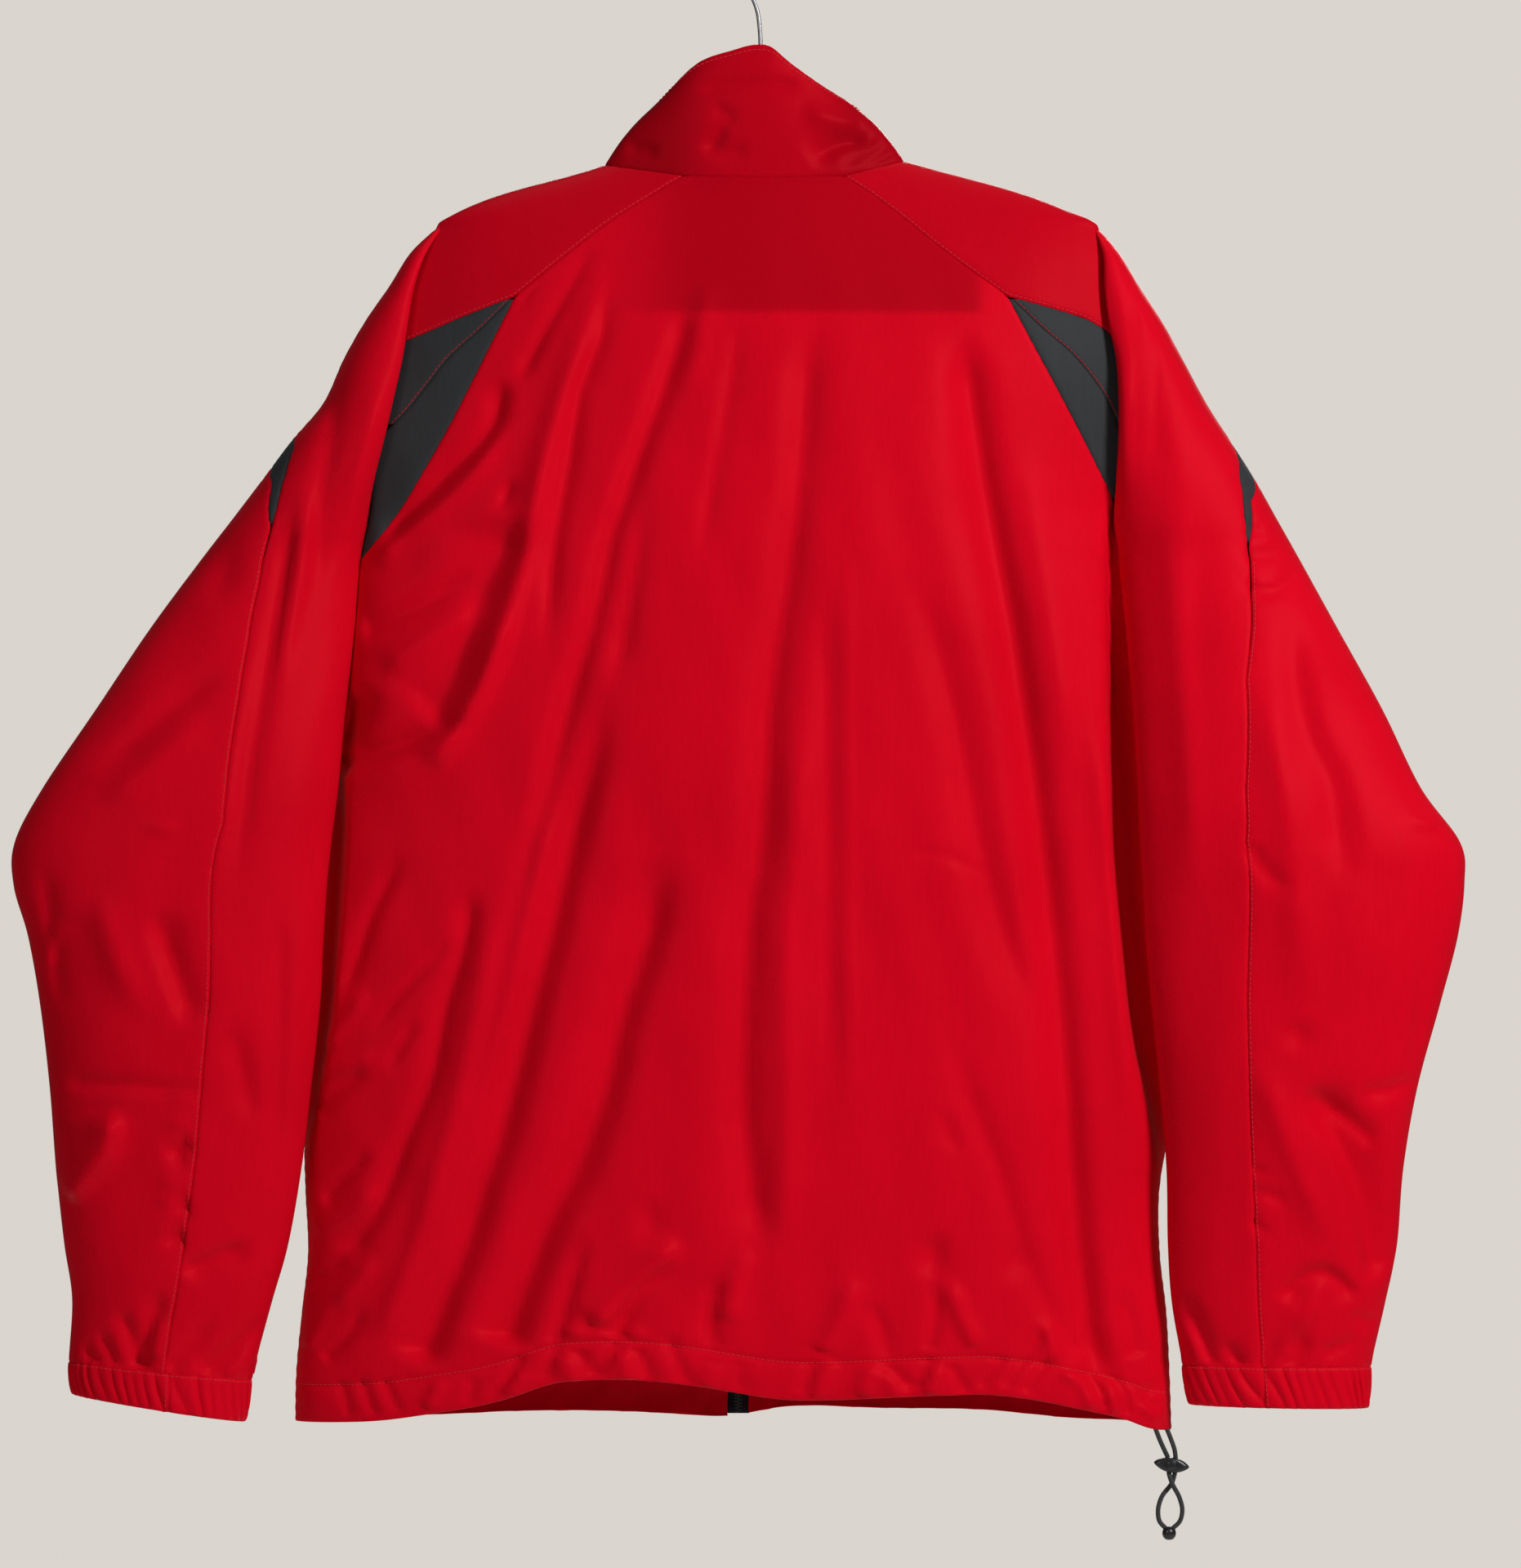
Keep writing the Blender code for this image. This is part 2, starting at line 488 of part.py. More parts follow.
def sleeve_point(side, row, angle):
    """A point of the sleeve; the angle runs from the inner fold over the back to the front."""
    row, angle = np.broadcast_arrays(np.asarray(row, float), np.asarray(angle, float))
    value = {name: sleeve_value(side, name, row) for name in SLEEVES[side]}
    half_x = (value["outer_x"] - value["inner_x"]) / 2
    half_z = (value["outer_z"] - value["inner_z"]) / 2

    def section(turn):
        x = (value["outer_x"] + value["inner_x"]) / 2 - half_x * np.cos(turn)
        z = (value["outer_z"] + value["inner_z"]) / 2 - half_z * np.cos(turn)
        bulge = (value["depth"] - value["fold"] / 2) * np.sin(turn)
        y = value["middle"] - value["fold"] * (1 - turn / math.pi) - bulge
        return np.stack([x, y, z], axis=-1)

    point = section(angle)
    lap = value["lap"]
    open_part = (row < ARMPIT_ROW)[..., None]
    for face, start in (("back", -lap), ("front", 2 * math.pi + lap)):
        seam_z = value["inner_z"]
        seam_x = torso_side(side, seam_z) + outward(side) * value["step"]
        seam_y = value["armhole"] * (-1.0 if face == "back" else 1.0)
        move = np.stack([seam_x, seam_y, seam_z], axis=-1) - section(start)
        near = 1 - ease(np.abs(angle - start) / 0.75)
        point = point + np.where(open_part, move * near[..., None], 0.0)
    back = np.clip(np.sin(angle), 0, 1) * ease((row - 1) / 2)
    front = np.clip(-np.sin(angle), 0, 1) * ease((row - 1) / 2)
    ends = 1 - ease((row - CUFF_ROW + 1.5) / 1.5)
    rise = fold_rise(point[..., 0], point[..., 2], SLEEVE_FOLDS[side])
    point[..., 1] -= rise * (back - front) * ends
    return point


def sleeve_normal(side, row, angle):
    step = 0.02
    down = sleeve_point(side, row + step, angle) - sleeve_point(side, row - step, angle)
    turn = sleeve_point(side, row, angle + step) - sleeve_point(side, row, angle - step)
    normal = np.cross(down, turn) * outward(side)
    return normal / np.maximum(np.linalg.norm(normal, axis=-1, keepdims=True), 1e-9)


def angle_at(side, x, z):
    """The angle, on the sleeve's back, of a point of its seam."""
    row = sleeve_row(side, z)
    inner = sleeve_value(side, "inner_x", row)
    outer = sleeve_value(side, "outer_x", row)
    cosine = ((inner + outer) / 2 - x) / ((outer - inner) / 2)
    return np.arccos(np.clip(cosine, -1, 1))


def seam_angle(side, row, which):
    """Where the inner piece ends (upper) and the outer piece starts (lower), at a row."""
    crescent = CRESCENT[side]
    wrap, back = crescent[which], crescent[which + "_back"]
    table = SLEEVES[side]
    z = np.interp(row, np.arange(len(table["inner_z"])),
                  (table["inner_z"] + table["outer_z"]) / 2)
    seam = SLEEVE_SEAM[side]
    heights = np.concatenate([wrap["z"], back["z"], seam["z"][1:]])
    angles = np.concatenate([wrap["turn"] * math.pi, angle_at(side, back["x"], back["z"]),
                             angle_at(side, seam["x"][1:], seam["z"][1:])])
    limit = 2 * math.pi + sleeve_value(side, "lap", row)
    return np.minimum(np.interp(-z, -heights, angles), limit)


def sleeve_panel(side, name, rows, start, end, count, paint, gather=None):
    """A piece of the sleeve between two angles, each a function of the row."""
    rows = np.asarray(rows, float)
    share = np.linspace(0, 1, count + 1)
    first, last = start(rows)[:, None], end(rows)[:, None]
    angle = first + (last - first) * share
    row = np.repeat(rows[:, None], count + 1, axis=1)
    points = sleeve_point(side, row, angle)
    normals = sleeve_normal(side, row, angle)
    if gather is not None:
        points = points + normals * gather(row, angle)[..., None]
    thickness = CUFF_CLOTH if gather is not None else CLOTH
    build_wall(name, trim(points, SEAM_GAP / 2), normals, thickness, paint)


def build_sleeve(side):
    """The inner piece, the black crescent, the outer piece and the gathered cuff."""
    top = sleeve_row(side, CRESCENT[side]["upper"]["z"][0])
    tip = sleeve_row(side, SLEEVE_SEAM[side]["z"][0])
    low = sleeve_row(side, CRESCENT[side]["lower"]["z"][0])
    rows = np.unique(np.round(SLEEVE_ROWS + [top, low, tip], 4))
    closed = 2 * math.pi

    def inner_start(row):
        return -sleeve_value(side, "lap", row)

    def outer_end(row):
        return closed + sleeve_value(side, "lap", row)

    def upper(row):
        return seam_angle(side, row, "upper")

    def lower(row):
        return seam_angle(side, row, "lower")

    sleeve_panel(side, "sleeve_inner_" + side, rows, inner_start, upper, 10, "red cloth")
    crescent_rows = rows[(rows > top + 0.15) & (rows < tip - 0.1)]
    sleeve_panel(side, "sleeve_insert_" + side, crescent_rows, upper, lower, 5, "black cloth")
    outer_rows = rows[rows > low + 0.15]
    sleeve_panel(side, "sleeve_outer_" + side, outer_rows, lower, outer_end, 12, "red cloth")

    def gather(row, angle):
        share = (row - CUFF_ROW) / (CUFF_END_ROW - CUFF_ROW)
        swell = CUFF_SWELL[0] + CUFF_SWELL[1] * np.sin(math.pi * np.clip(share, 0, 1))
        return swell + GATHER_DEPTH * np.cos(angle * GATHERS)

    cuff_rows = [CUFF_ROW + 0.02, CUFF_ROW + 0.5, CUFF_END_ROW]

    def cuff_start(row):
        return np.full(np.shape(row), 0.0)

    def cuff_end(row):
        return np.full(np.shape(row), closed)

    sleeve_panel(side, "cuff_" + side, cuff_rows, cuff_start, cuff_end, GATHERS * 3, "cuff",
                 gather)


# ---------------------------------------------------------------- yokes and collar


def yoke_half(side, face):
    """Half a yoke in across and height: rows from the raglan seam up to the ridge, columns from
    the neck to the armhole."""
    raglan = RAGLAN[side] if face == "back" else FRONT_RAGLAN[side]
    seam = [(read(raglan, "x", z), z) for z in RAGLAN_LEVELS[face]]
    seam += [(insert_top(side, z), z) for z in INSERT_LEVELS if z >= YOKE_END]
    seam = np.array(seam, dtype=float)
    run = np.concatenate([[0], np.cumsum(np.hypot(*np.diff(seam, axis=0).T))])
    share = run / run[-1]
    neck_x, tip_x = YOKE_NECK[side], YOKE_TIP[side]
    ridge_x = neck_x + (tip_x - neck_x) * share
    ridge = np.stack([ridge_x, smooth(ridge_x, SHOULDER["x"], SHOULDER["z"])], axis=-1)
    drops = np.linspace(1, 0, YOKE_STEPS + 1) ** 2
    grid = ridge + (seam - ridge) * drops[:, None, None]
    end_z = ridge[-1, 1] + (seam[-1, 1] - ridge[-1, 1]) * drops
    end_x = torso_side(side, end_z)
    end_x[-1] = tip_x
    grid[..., 0] += (end_x - grid[:, -1, 0])[:, None] * share**3
    return grid


def build_yoke(side):
    """A saddle from the back's raglan seam over the shoulder to the front's."""
    halves = {face: yoke_half(side, face) for face in ("back", "front")}
    points = {face: torso_point(grid[..., 0], grid[..., 1], face)
              for face, grid in halves.items()}
    whole = np.concatenate([points["back"][:-1], points["front"][::-1]])
    whole[YOKE_STEPS, :, 1] = 0.0
    ends = whole[:YOKE_STEPS + 1, 0].copy(), whole[YOKE_STEPS:, 0][::-1].copy()
    whole = trim(whole, SEAM_GAP / 2)
    normals = np.cross(np.gradient(whole, axis=0), np.gradient(whole, axis=1)) * -outward(side)
    normals /= np.linalg.norm(normals, axis=-1, keepdims=True)
    for row, face in ((0, "back"), (-1, "front")):
        seam = halves[face][0]
        normals[row] = torso_normal(seam[:, 0], seam[:, 1], face)
    build_wall("shoulder_yoke_" + side, whole, normals, CLOTH, "red cloth")
    return ends


def collar_base(yoke_ends):
    """The neckline, from its left front end round the back to its right front end."""
    left_back, left_front = yoke_ends["left"]
    right_back, right_front = yoke_ends["right"]
    front_x = {"left": np.linspace(-6.8, -62, 5)[:-1], "right": np.linspace(60, 6.8, 5)[1:]}

    def front_points(side):
        x = front_x[side]
        z = smooth(x, NECK_FRONT[side]["x"], NECK_FRONT[side]["z"])
        return torso_point(x, z, "front")

    back_x = np.linspace(-44, 49, 9)[1:-1]
    back = torso_point(back_x, smooth(back_x, NECK_BACK["x"], NECK_BACK["z"]), "back")
    return np.concatenate([front_points("left"), left_front, left_back[::-1][1:], back,
                           right_back, right_front[::-1][1:], front_points("right")])


def build_collar(yoke_ends):
    base = collar_base(yoke_ends)
    run = np.concatenate([[0], np.cumsum(np.linalg.norm(np.diff(base, axis=0), axis=-1))])
    middle = np.interp(2.0, base[len(base) // 2 - 3:len(base) // 2 + 4, 0],
                       run[len(base) // 2 - 3:len(base) // 2 + 4])
    share = np.where(run < middle, run / middle - 1, (run - middle) / (run[-1] - middle))
    top = np.stack([smooth(share, COLLAR_TOP["share"], COLLAR_TOP[k]) for k in "xyz"], axis=-1)
    rise = top - base
    base = base + rise / np.linalg.norm(rise, axis=-1, keepdims=True) * COLLAR_LIFT
    heights = np.linspace(0, 1, 5)[:, None, None]
    points = base[None] + (top - base)[None] * heights
    along = np.gradient(points, axis=1)
    up = np.gradient(points, axis=0)
    normals = np.cross(along, up)
    normals /= np.linalg.norm(normals, axis=-1, keepdims=True)
    points = points + normals * COLLAR_BULGE * np.sin(math.pi * heights)
    build_wall("collar", trim(points, SEAM_GAP / 2), normals, COLLAR_CLOTH, "red cloth")
    return points


# ---------------------------------------------------------------- meshes


def paint_for(name):
    if name in bpy.data.materials:
        return bpy.data.materials[name]
    color, roughness, metallic = COLORS[name]
    material = bpy.data.materials.new(name)
    material.use_nodes = True
    shader = material.node_tree.nodes["Principled BSDF"]
    shader.inputs["Base Color"].default_value = (*color, 1.0)
    shader.inputs["Roughness"].default_value = roughness
    shader.inputs["Metallic"].default_value = metallic
    return material


def collection_for(name):
    if name not in bpy.data.collections:
        bpy.context.scene.collection.children.link(bpy.data.collections.new(name))
    return bpy.data.collections[name]


def add_object(name, data, paint=None):
    piece = bpy.data.objects.new(name, data)
    if paint:
        data.materials.append(paint_for(paint))
    collection_for("windbreaker").objects.link(piece)
    return piece


def as_cutter(piece):
    """Moves a helper shape out of the part."""
    collection_for("windbreaker").objects.unlink(piece)
    collection_for("cutters").objects.link(piece)
    piece.hide_render = True
    piece.display_type = "WIRE"
    return piece


def use_cutter(piece, cutter, operation):
    modifier = piece.modifiers.new(cutter.name, "BOOLEAN")
    modifier.operation = operation
    modifier.object = cutter


def finish_mesh(name, mesh):
    """Turns a bmesh into mesh data with its faces pointing out."""
    bmesh.ops.recalc_face_normals(mesh, faces=mesh.faces)
    data = bpy.data.meshes.new(name)
    mesh.to_mesh(data)
    mesh.free()
    return data


def build_wall(name, points, normals, thickness, paint):
    """A closed cloth wall round a grid of points, half its thickness to each side."""
    rows, across = points.shape[:2]
    offset = normals * thickness / 2
    mesh = bmesh.new()
    layers = []
    for layer in (points + offset, points - offset):
        layers.append([[mesh.verts.new(Vector(p) * MM) for p in row] for row in layer])
    outer, inner = layers
    for r in range(rows - 1):
        for c in range(across - 1):
            mesh.faces.new((outer[r][c], outer[r][c + 1], outer[r + 1][c + 1], outer[r + 1][c]))
            mesh.faces.new((inner[r][c], inner[r + 1][c], inner[r + 1][c + 1], inner[r][c + 1]))
    border = [(r, 0) for r in range(rows)] + [(rows - 1, c) for c in range(1, across)]
    border += [(r, across - 1) for r in range(rows - 2, -1, -1)]
    border += [(0, c) for c in range(across - 2, 0, -1)]
    for (r0, c0), (r1, c1) in zip(border, border[1:] + border[:1]):
        mesh.faces.new((outer[r0][c0], outer[r1][c1], inner[r1][c1], inner[r0][c0]))
    data = finish_mesh(name, mesh)
    data.shade_smooth()
    return add_object(name, data, paint)


def build_tube(name, route, radius, paint, resolution=2):
    """A round tube along a route, with closed ends."""
    curve = bpy.data.curves.new(name, "CURVE")
    curve.dimensions = "3D"
    curve.bevel_depth = radius * MM
    curve.bevel_resolution = resolution
    curve.use_fill_caps = True
    spline = curve.splines.new("POLY")
    spline.points.add(len(route) - 1)
    for point, place in zip(spline.points, route):
        point.co = (*[value * MM for value in place], 1.0)
    return add_object(name, curve, paint)


def prism_mesh(name, outline, low, high, axis):
    """An outline carried along one axis (0 is x, 1 is y), from low to high."""
    mesh = bmesh.new()
    others = [k for k in range(3) if k != axis]

    def corner(place, along):
        spot = [0.0, 0.0, 0.0]
        spot[axis] = along
        spot[others[0]], spot[others[1]] = place
        return mesh.verts.new(Vector(spot) * MM)

    lower = [corner(place, low) for place in outline]
    upper = [corner(place, high) for place in outline]
    mesh.faces.new(lower)
    mesh.faces.new(upper)
    for k in range(len(outline)):
        n = (k + 1) % len(outline)
        mesh.faces.new((lower[k], lower[n], upper[n], upper[k]))
    return finish_mesh(name, mesh)


def build_prism(name, outline, low, high, axis, paint, bevel=0.0):
    piece = add_object(name, prism_mesh(name, outline, low, high, axis), paint)
    if bevel:
        modifier = piece.modifiers.new("soft edges", "BEVEL")
        modifier.width = bevel * MM
        modifier.segments = 1
        modifier.limit_method = "ANGLE"
    return piece


def through(points, count):
    """A smooth route through points, evenly parted into count stretches."""
    points = np.array(points, float)
    run = np.concatenate([[0], np.cumsum(np.linalg.norm(np.diff(points, axis=0), axis=-1))])
    at = np.linspace(0, run[-1], count + 1)
    return np.stack([smooth(at, run, points[:, k]) for k in range(3)], axis=-1)


# ---------------------------------------------------------------- the pieces


def outer_seam(side, raglan, z):
    """A panel's outer border: raglan seam, insert seam, side seam."""
    upper, lower = read(raglan, "x", z), panel_edge(side, z)
    return np.where(z > YOKE_TURN, upper, np.where(z > -380, lower, torso_side(side, z)))


def sided(side, inner, outer):
    """The two borders of a panel in order of x."""
    return (inner, outer) if side == "right" else (outer, inner)


def build_back():
    torso_panel("back_panel", "back", RAGLAN_LEVELS["back"] + INSERT_LEVELS + LOW_LEVELS,
                lambda z: outer_seam("left", RAGLAN["left"], z),
                lambda z: outer_seam("right", RAGLAN["right"], z), 28, "red cloth", spread=1.05)


def build_back_inserts(side):
    """Two black pieces, with the topstitched seam between them."""
    seam = INSERT_SEAM[side]

    def panel_seam(z):
        return panel_edge(side, z)

    def middle(z):
        return read(seam, "x", z)

    def lower_outside(z):
        return np.where(z > seam["z"][-1], middle(z), torso_side(side, z))

    def upper_outside(z):
        return insert_top(side, z)

    left, right = sided(side, middle, upper_outside)
    torso_panel("back_insert_upper_" + side, "back", insert_levels(UPPER_INSERT_FOOT),
                left, right, 4, "black cloth")
    left, right = sided(side, panel_seam, lower_outside)
    torso_panel("back_insert_lower_" + side, "back", INSERT_LEVELS, left, right, 4,
                "black cloth")


def build_front(side):
    """A front between the zip, the neckline, the raglan seam and the side seam, and its insert."""
    neck = NECK_FRONT[side]
    neck_foot = min(neck["z"])
    raglan = FRONT_RAGLAN[side]

    def outside(z):
        return outer_seam(side, raglan, z)

    def inside(z):
        neck_line = smooth(z, neck["z"], neck["x"])
        zip_edge = read(ZIP_LINE, "x", z) + outward(side) * (ZIP_HALF_WIDTH + SEAM_GAP / 2)
        return np.where(z > neck_foot, neck_line, zip_edge)

    levels = [raglan["z"][0] - 2.0] + RAGLAN_LEVELS["front"][1:] + INSERT_LEVELS + LOW_LEVELS
    left, right = sided(side, inside, outside)
    torso_panel("front_" + side, "front", levels, left, right, 9, "red cloth")

    def panel_seam(z):
        return panel_edge(side, z)

    def armhole_edge(z):
        return insert_top(side, z)

    left, right = sided(side, panel_seam, armhole_edge)
    torso_panel("front_insert_" + side, "front", INSERT_LEVELS, left, right, 4, "black cloth")


def build_zip(collar):
    """The zip's tape and chain, and the box at its foot. Returns the chain's line."""
    body_z = np.array([-876.0, -850, -800, -740, -680, -620, -560, -500, -440, -380, -320, -270,
                       -236])
    line_x = read(ZIP_LINE, "x", body_z)
    body = torso_point(line_x, body_z, "front")
    collar_line = (collar[:, 0] + collar[:, -1]) / 2
    line = np.concatenate([body, collar_line[1:]])
    across = np.array([-1.0, 0.0, 1.0]) * (ZIP_HALF_WIDTH + SEAM_GAP / 2)
    points = line[:, None] + np.stack([across, across * 0, across * 0], axis=-1)[None]
    rise = np.gradient(points, axis=0)
    normals = np.cross(np.array([1.0, 0, 0]), rise)
    normals /= np.linalg.norm(normals, axis=-1, keepdims=True)
    normals = np.where(normals[..., 1:2] < 0, -normals, normals)
    build_wall("zip_chain", trim(points, SEAM_GAP / 2), normals, ZIP_THICKNESS, "zip tape")

    foot_x, foot_y, foot_z = body[0]
    width, low, high = ZIP_BOX["half_width"], foot_z + ZIP_BOX["low"], foot_z + ZIP_BOX["high"]
    outline = [(foot_x - width, low), (foot_x + width, low), (foot_x + width, high),
               (foot_x - width, high)]
    face = max(foot_y, body[1][1]) + ZIP_THICKNESS / 2 + 2 * SEAM_GAP
    build_prism("zip_box", outline, face, face + ZIP_BOX["thick"], 1, "black plastic", bevel=0.4)
    return line


def build_slider(line):
    """The slider near the collar's top, with its bridge, and the pull tab that hangs in it."""
    x, _, z = line[-3]
    wide, tall = SLIDER["half_width"], SLIDER["half_height"]
    chain = np.interp([z - tall, z, z + tall], line[:, 2], line[:, 1])
    back = chain.max() + ZIP_THICKNESS / 2 + SEAM_GAP
    face = back + SLIDER["thick"]
    half = [(0.7 * wide, -tall), (wide, 0.2 * tall), (wide, tall)]
    outline = [(x + dx, z + dz) for dx, dz in half]
    outline += [(x - dx, z + dz) for dx, dz in reversed(half)]
    slider = build_prism("zip_slider", outline, back, face, 1, "zip metal")

    hinge_y, hinge_z = face + 1.2, z + 1.5
    inner, outer, steps = BRIDGE["inner"], BRIDGE["outer"], BRIDGE["steps"]
    sunk = face - 0.4
    turns = [math.pi * k / steps for k in range(steps + 1)]
    arch = [(sunk, hinge_z - outer)]
    arch += [(hinge_y + outer * math.sin(t), hinge_z - outer * math.cos(t)) for t in turns]
    arch += [(sunk, hinge_z + outer), (sunk, hinge_z + inner)]
    arch += [(hinge_y + inner * math.sin(t), hinge_z + inner * math.cos(t)) for t in turns]
    arch += [(sunk, hinge_z - inner)]
    width = BRIDGE["half_width"]
    bridge = as_cutter(add_object("bridge", prism_mesh("bridge", arch, x - width, x + width, 0)))
    use_cutter(slider, bridge, "UNION")

    curve = bpy.data.curves.new("zip_pull_tab", "CURVE")
    curve.dimensions = "2D"
    curve.fill_mode = "BOTH"
    curve.extrude = TAB_BAR * MM
    for loop in (TAB_OUTLINE, TAB_WINDOW):
        spline = curve.splines.new("POLY")
        spline.points.add(len(loop) - 1)
        for point, (across, up) in zip(spline.points, loop):
            point.co = (across * MM, up * MM, 0.0, 1.0)
        spline.use_cyclic_u = True
    tab = add_object("zip_pull_tab", curve, "zip metal")
    tab.location = Vector((x, hinge_y, hinge_z)) * MM
    tab.rotation_euler = (math.pi / 2, 0.0, 0.0)


def build_hanger():
    """A plain bar under the shoulders and a wire hook whose inside top is the origin."""
    left_x = np.linspace(YOKE_TIP["left"] + BAR_SHORT, -100, 6)
    right_x = np.linspace(100, YOKE_TIP["right"] - BAR_SHORT, 6)

    def under(x):
        z = smooth(x, SHOULDER["x"], SHOULDER["z"]) - BAR_DROP
        return [(a, 0.0, b) for a, b in zip(x, z)]

    top = (0.0, 0.0, BAR_TOP)
    route = under(left_x) + [(-60, 0, -143.5), (-25, 0, -131.5), top, (25, 0, -131.5),
                             (60, 0, -142.5)] + under(right_x)
    build_tube("hanger_arms", through(route, 26), BAR_RADIUS, "hanger bar", resolution=2)

    middle = HOOK_RADIUS + WIRE_RADIUS
    start = BAR_TOP + BAR_RADIUS + SEAM_GAP
    stem = [(0.0, 0.0, start), (0.0, 0.0, -100.0), (0.0, 0.0, -66.0), (-1.2, 0.0, -57.0),
            (-4.6, 0.0, -48.0), (-10.5, 0.0, -40.5)]
    turns = [math.radians(a) for a in range(214, -40, -14)]
    loop = [(middle * math.cos(t), 0.0, -HOOK_RADIUS + middle * math.sin(t)) for t in turns]
    build_tube("hanger_hook", stem + loop, WIRE_RADIUS, "hook wire")


def build_drawcord():
    """The hem cord's two strands, its lock, and the bead that ties them."""
    for side, route in (("left", LEFT_STRAND), ("right", RIGHT_STRAND)):
        build_tube("drawcord_" + side + "_strand", through(route, 17), CORD_RADIUS, "cord")
    centre_x, y, centre_z = LOCK_CENTRE
    tilt = math.radians(LOCK["tilt"])
    outline = []
    for k in range(LOCK["steps"]):
        turn = 2 * math.pi * k / LOCK["steps"]
        x = LOCK["half_length"] * math.cos(turn)
        rise = abs(math.sin(turn)) ** LOCK["squareness"]
        z = LOCK["half_height"] * math.copysign(rise, math.sin(turn))
        outline.append((centre_x + x * math.cos(tilt) - z * math.sin(tilt),
                        centre_z + x * math.sin(tilt) + z * math.cos(tilt)))
    lock = build_prism("cord_lock", outline, y - LOCK["half_depth"], y + LOCK["half_depth"], 1,
                       "black plastic", bevel=LOCK["bevel"])
    deep = LOCK_SLOT["half_depth"]
    low, high = centre_z - LOCK["half_length"], centre_z + LOCK["half_length"]
    corners = [(x, z) for x, z in zip(np.repeat(LOCK_SLOT["x"], 2), (low, high, high, low))]
    slot = add_object("cord slot", prism_mesh("cord slot", corners, y - deep, y + deep, 1))
    use_cutter(lock, as_cutter(slot), "DIFFERENCE")

    mesh = bmesh.new()
    bmesh.ops.create_uvsphere(mesh, u_segments=12, v_segments=8, radius=BEAD_RADIUS * MM)
    bead = add_object("cord_end", finish_mesh("cord_end", mesh), "black plastic")
    bead.data.shade_smooth()
    bead.location = Vector(BEAD_CENTRE) * MM


def main():
    for piece in list(bpy.data.objects):
        bpy.data.objects.remove(piece, do_unlink=True)
    build_back()
    for side in ("left", "right"):
        build_back_inserts(side)
        build_front(side)
    yoke_ends = {side: build_yoke(side) for side in ("left", "right")}
    collar = build_collar(yoke_ends)
    for side in ("left", "right"):
        build_sleeve(side)
    line = build_zip(collar)
    build_slider(line)
    build_hanger()
    build_drawcord()


main()
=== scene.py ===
import math

import bpy
import numpy as np
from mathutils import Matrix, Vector


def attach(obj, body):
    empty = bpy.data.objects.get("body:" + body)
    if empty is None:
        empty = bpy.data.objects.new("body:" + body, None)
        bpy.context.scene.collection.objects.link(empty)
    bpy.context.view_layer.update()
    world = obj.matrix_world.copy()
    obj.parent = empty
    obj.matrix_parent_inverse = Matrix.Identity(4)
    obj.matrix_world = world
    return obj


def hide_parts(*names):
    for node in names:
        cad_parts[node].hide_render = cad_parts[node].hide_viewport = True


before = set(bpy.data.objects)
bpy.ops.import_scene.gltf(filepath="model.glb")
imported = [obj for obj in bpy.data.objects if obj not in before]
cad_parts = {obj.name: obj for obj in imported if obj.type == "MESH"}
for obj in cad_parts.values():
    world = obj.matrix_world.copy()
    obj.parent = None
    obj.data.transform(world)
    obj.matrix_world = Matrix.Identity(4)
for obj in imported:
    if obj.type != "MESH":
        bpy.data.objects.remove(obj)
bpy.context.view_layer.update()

# A red windbreaker with black inserts on a wire-hook hanger, seen from its back. Tables are in
# millimetres and read from the top of the garment down; pieces are made in metres. The back
# faces -Y, and the origin is the inside top of the hanger's hook.

MM = 0.001
LEFT_RIGHT = ("left", "right")

# Camera: square to the garment's back, with the photograph's framing.
IMAGE_HEIGHT = 921.6
VIEW_CENTRE = (0.5, -510.7)
CAMERA_DISTANCE = 5000.0
SENSOR = 36.0

# Cloth: its thickness, the meshes of its grids, how its borders roll in, and how far from a seam
# its puckers reach.
THICK = 0.8
COLLAR_THICK = 1.8
GRID = 3.4
SLEEVE_GRID = 3.2
HEM_GRID_FROM = -832.0
SIDE_CROWDING = 0.04
MARGINS = [0.0, 0.25, 0.8, 2.0]
ROLL_REACH = 2.2
SEAM_ROLL = 0.8
HEM_ROLL = 0.4
SEAMS = {"top": SEAM_ROLL, "bottom": SEAM_ROLL, "start": SEAM_ROLL, "end": SEAM_ROLL}
PUCKER_FADE = 6.0
RIPPLE_RISE = 0.16

# Folds: how strong, wide and steep they are made, how many of its widths each one reaches, how
# many stretches its route is cut into, and how far before the middle they were read.
FOLD_STRENGTH = 1.35
FOLD_WIDTH = 0.88
FOLD_STEEPEST = 0.95
FOLD_REACH = 3.5
FOLD_STRETCHES = 14
FOLDS_NEARER = 50.0

# Shoulders: the ridge that lies over the hanger, and how the cloth falls from it.
RIDGE_ROUNDING = 5.0
RIDGE_LEAN = 0.3
YOKE_NECK = {"left": -90.0, "right": 84.0}
YOKE_TIP = {"left": -189.0, "right": 199.0}
YOKE_ROWS = 34

# Levels of the seams, and the share of the width over which the folds fade at the sides.
YOKE_TURN = -225.5
YOKE_END = -252.0
ARMPIT = -380.0
PANEL_TOP = {"back": -154.0, "front": -183.0}
INSERT_FOOT = {"upper": {"left": -300.0, "right": -300.0},
               "lower": {"left": -378.5, "right": -343.5},
               "front": {"left": -378.5, "right": -354.0}}
SIDE_FADE = 0.035

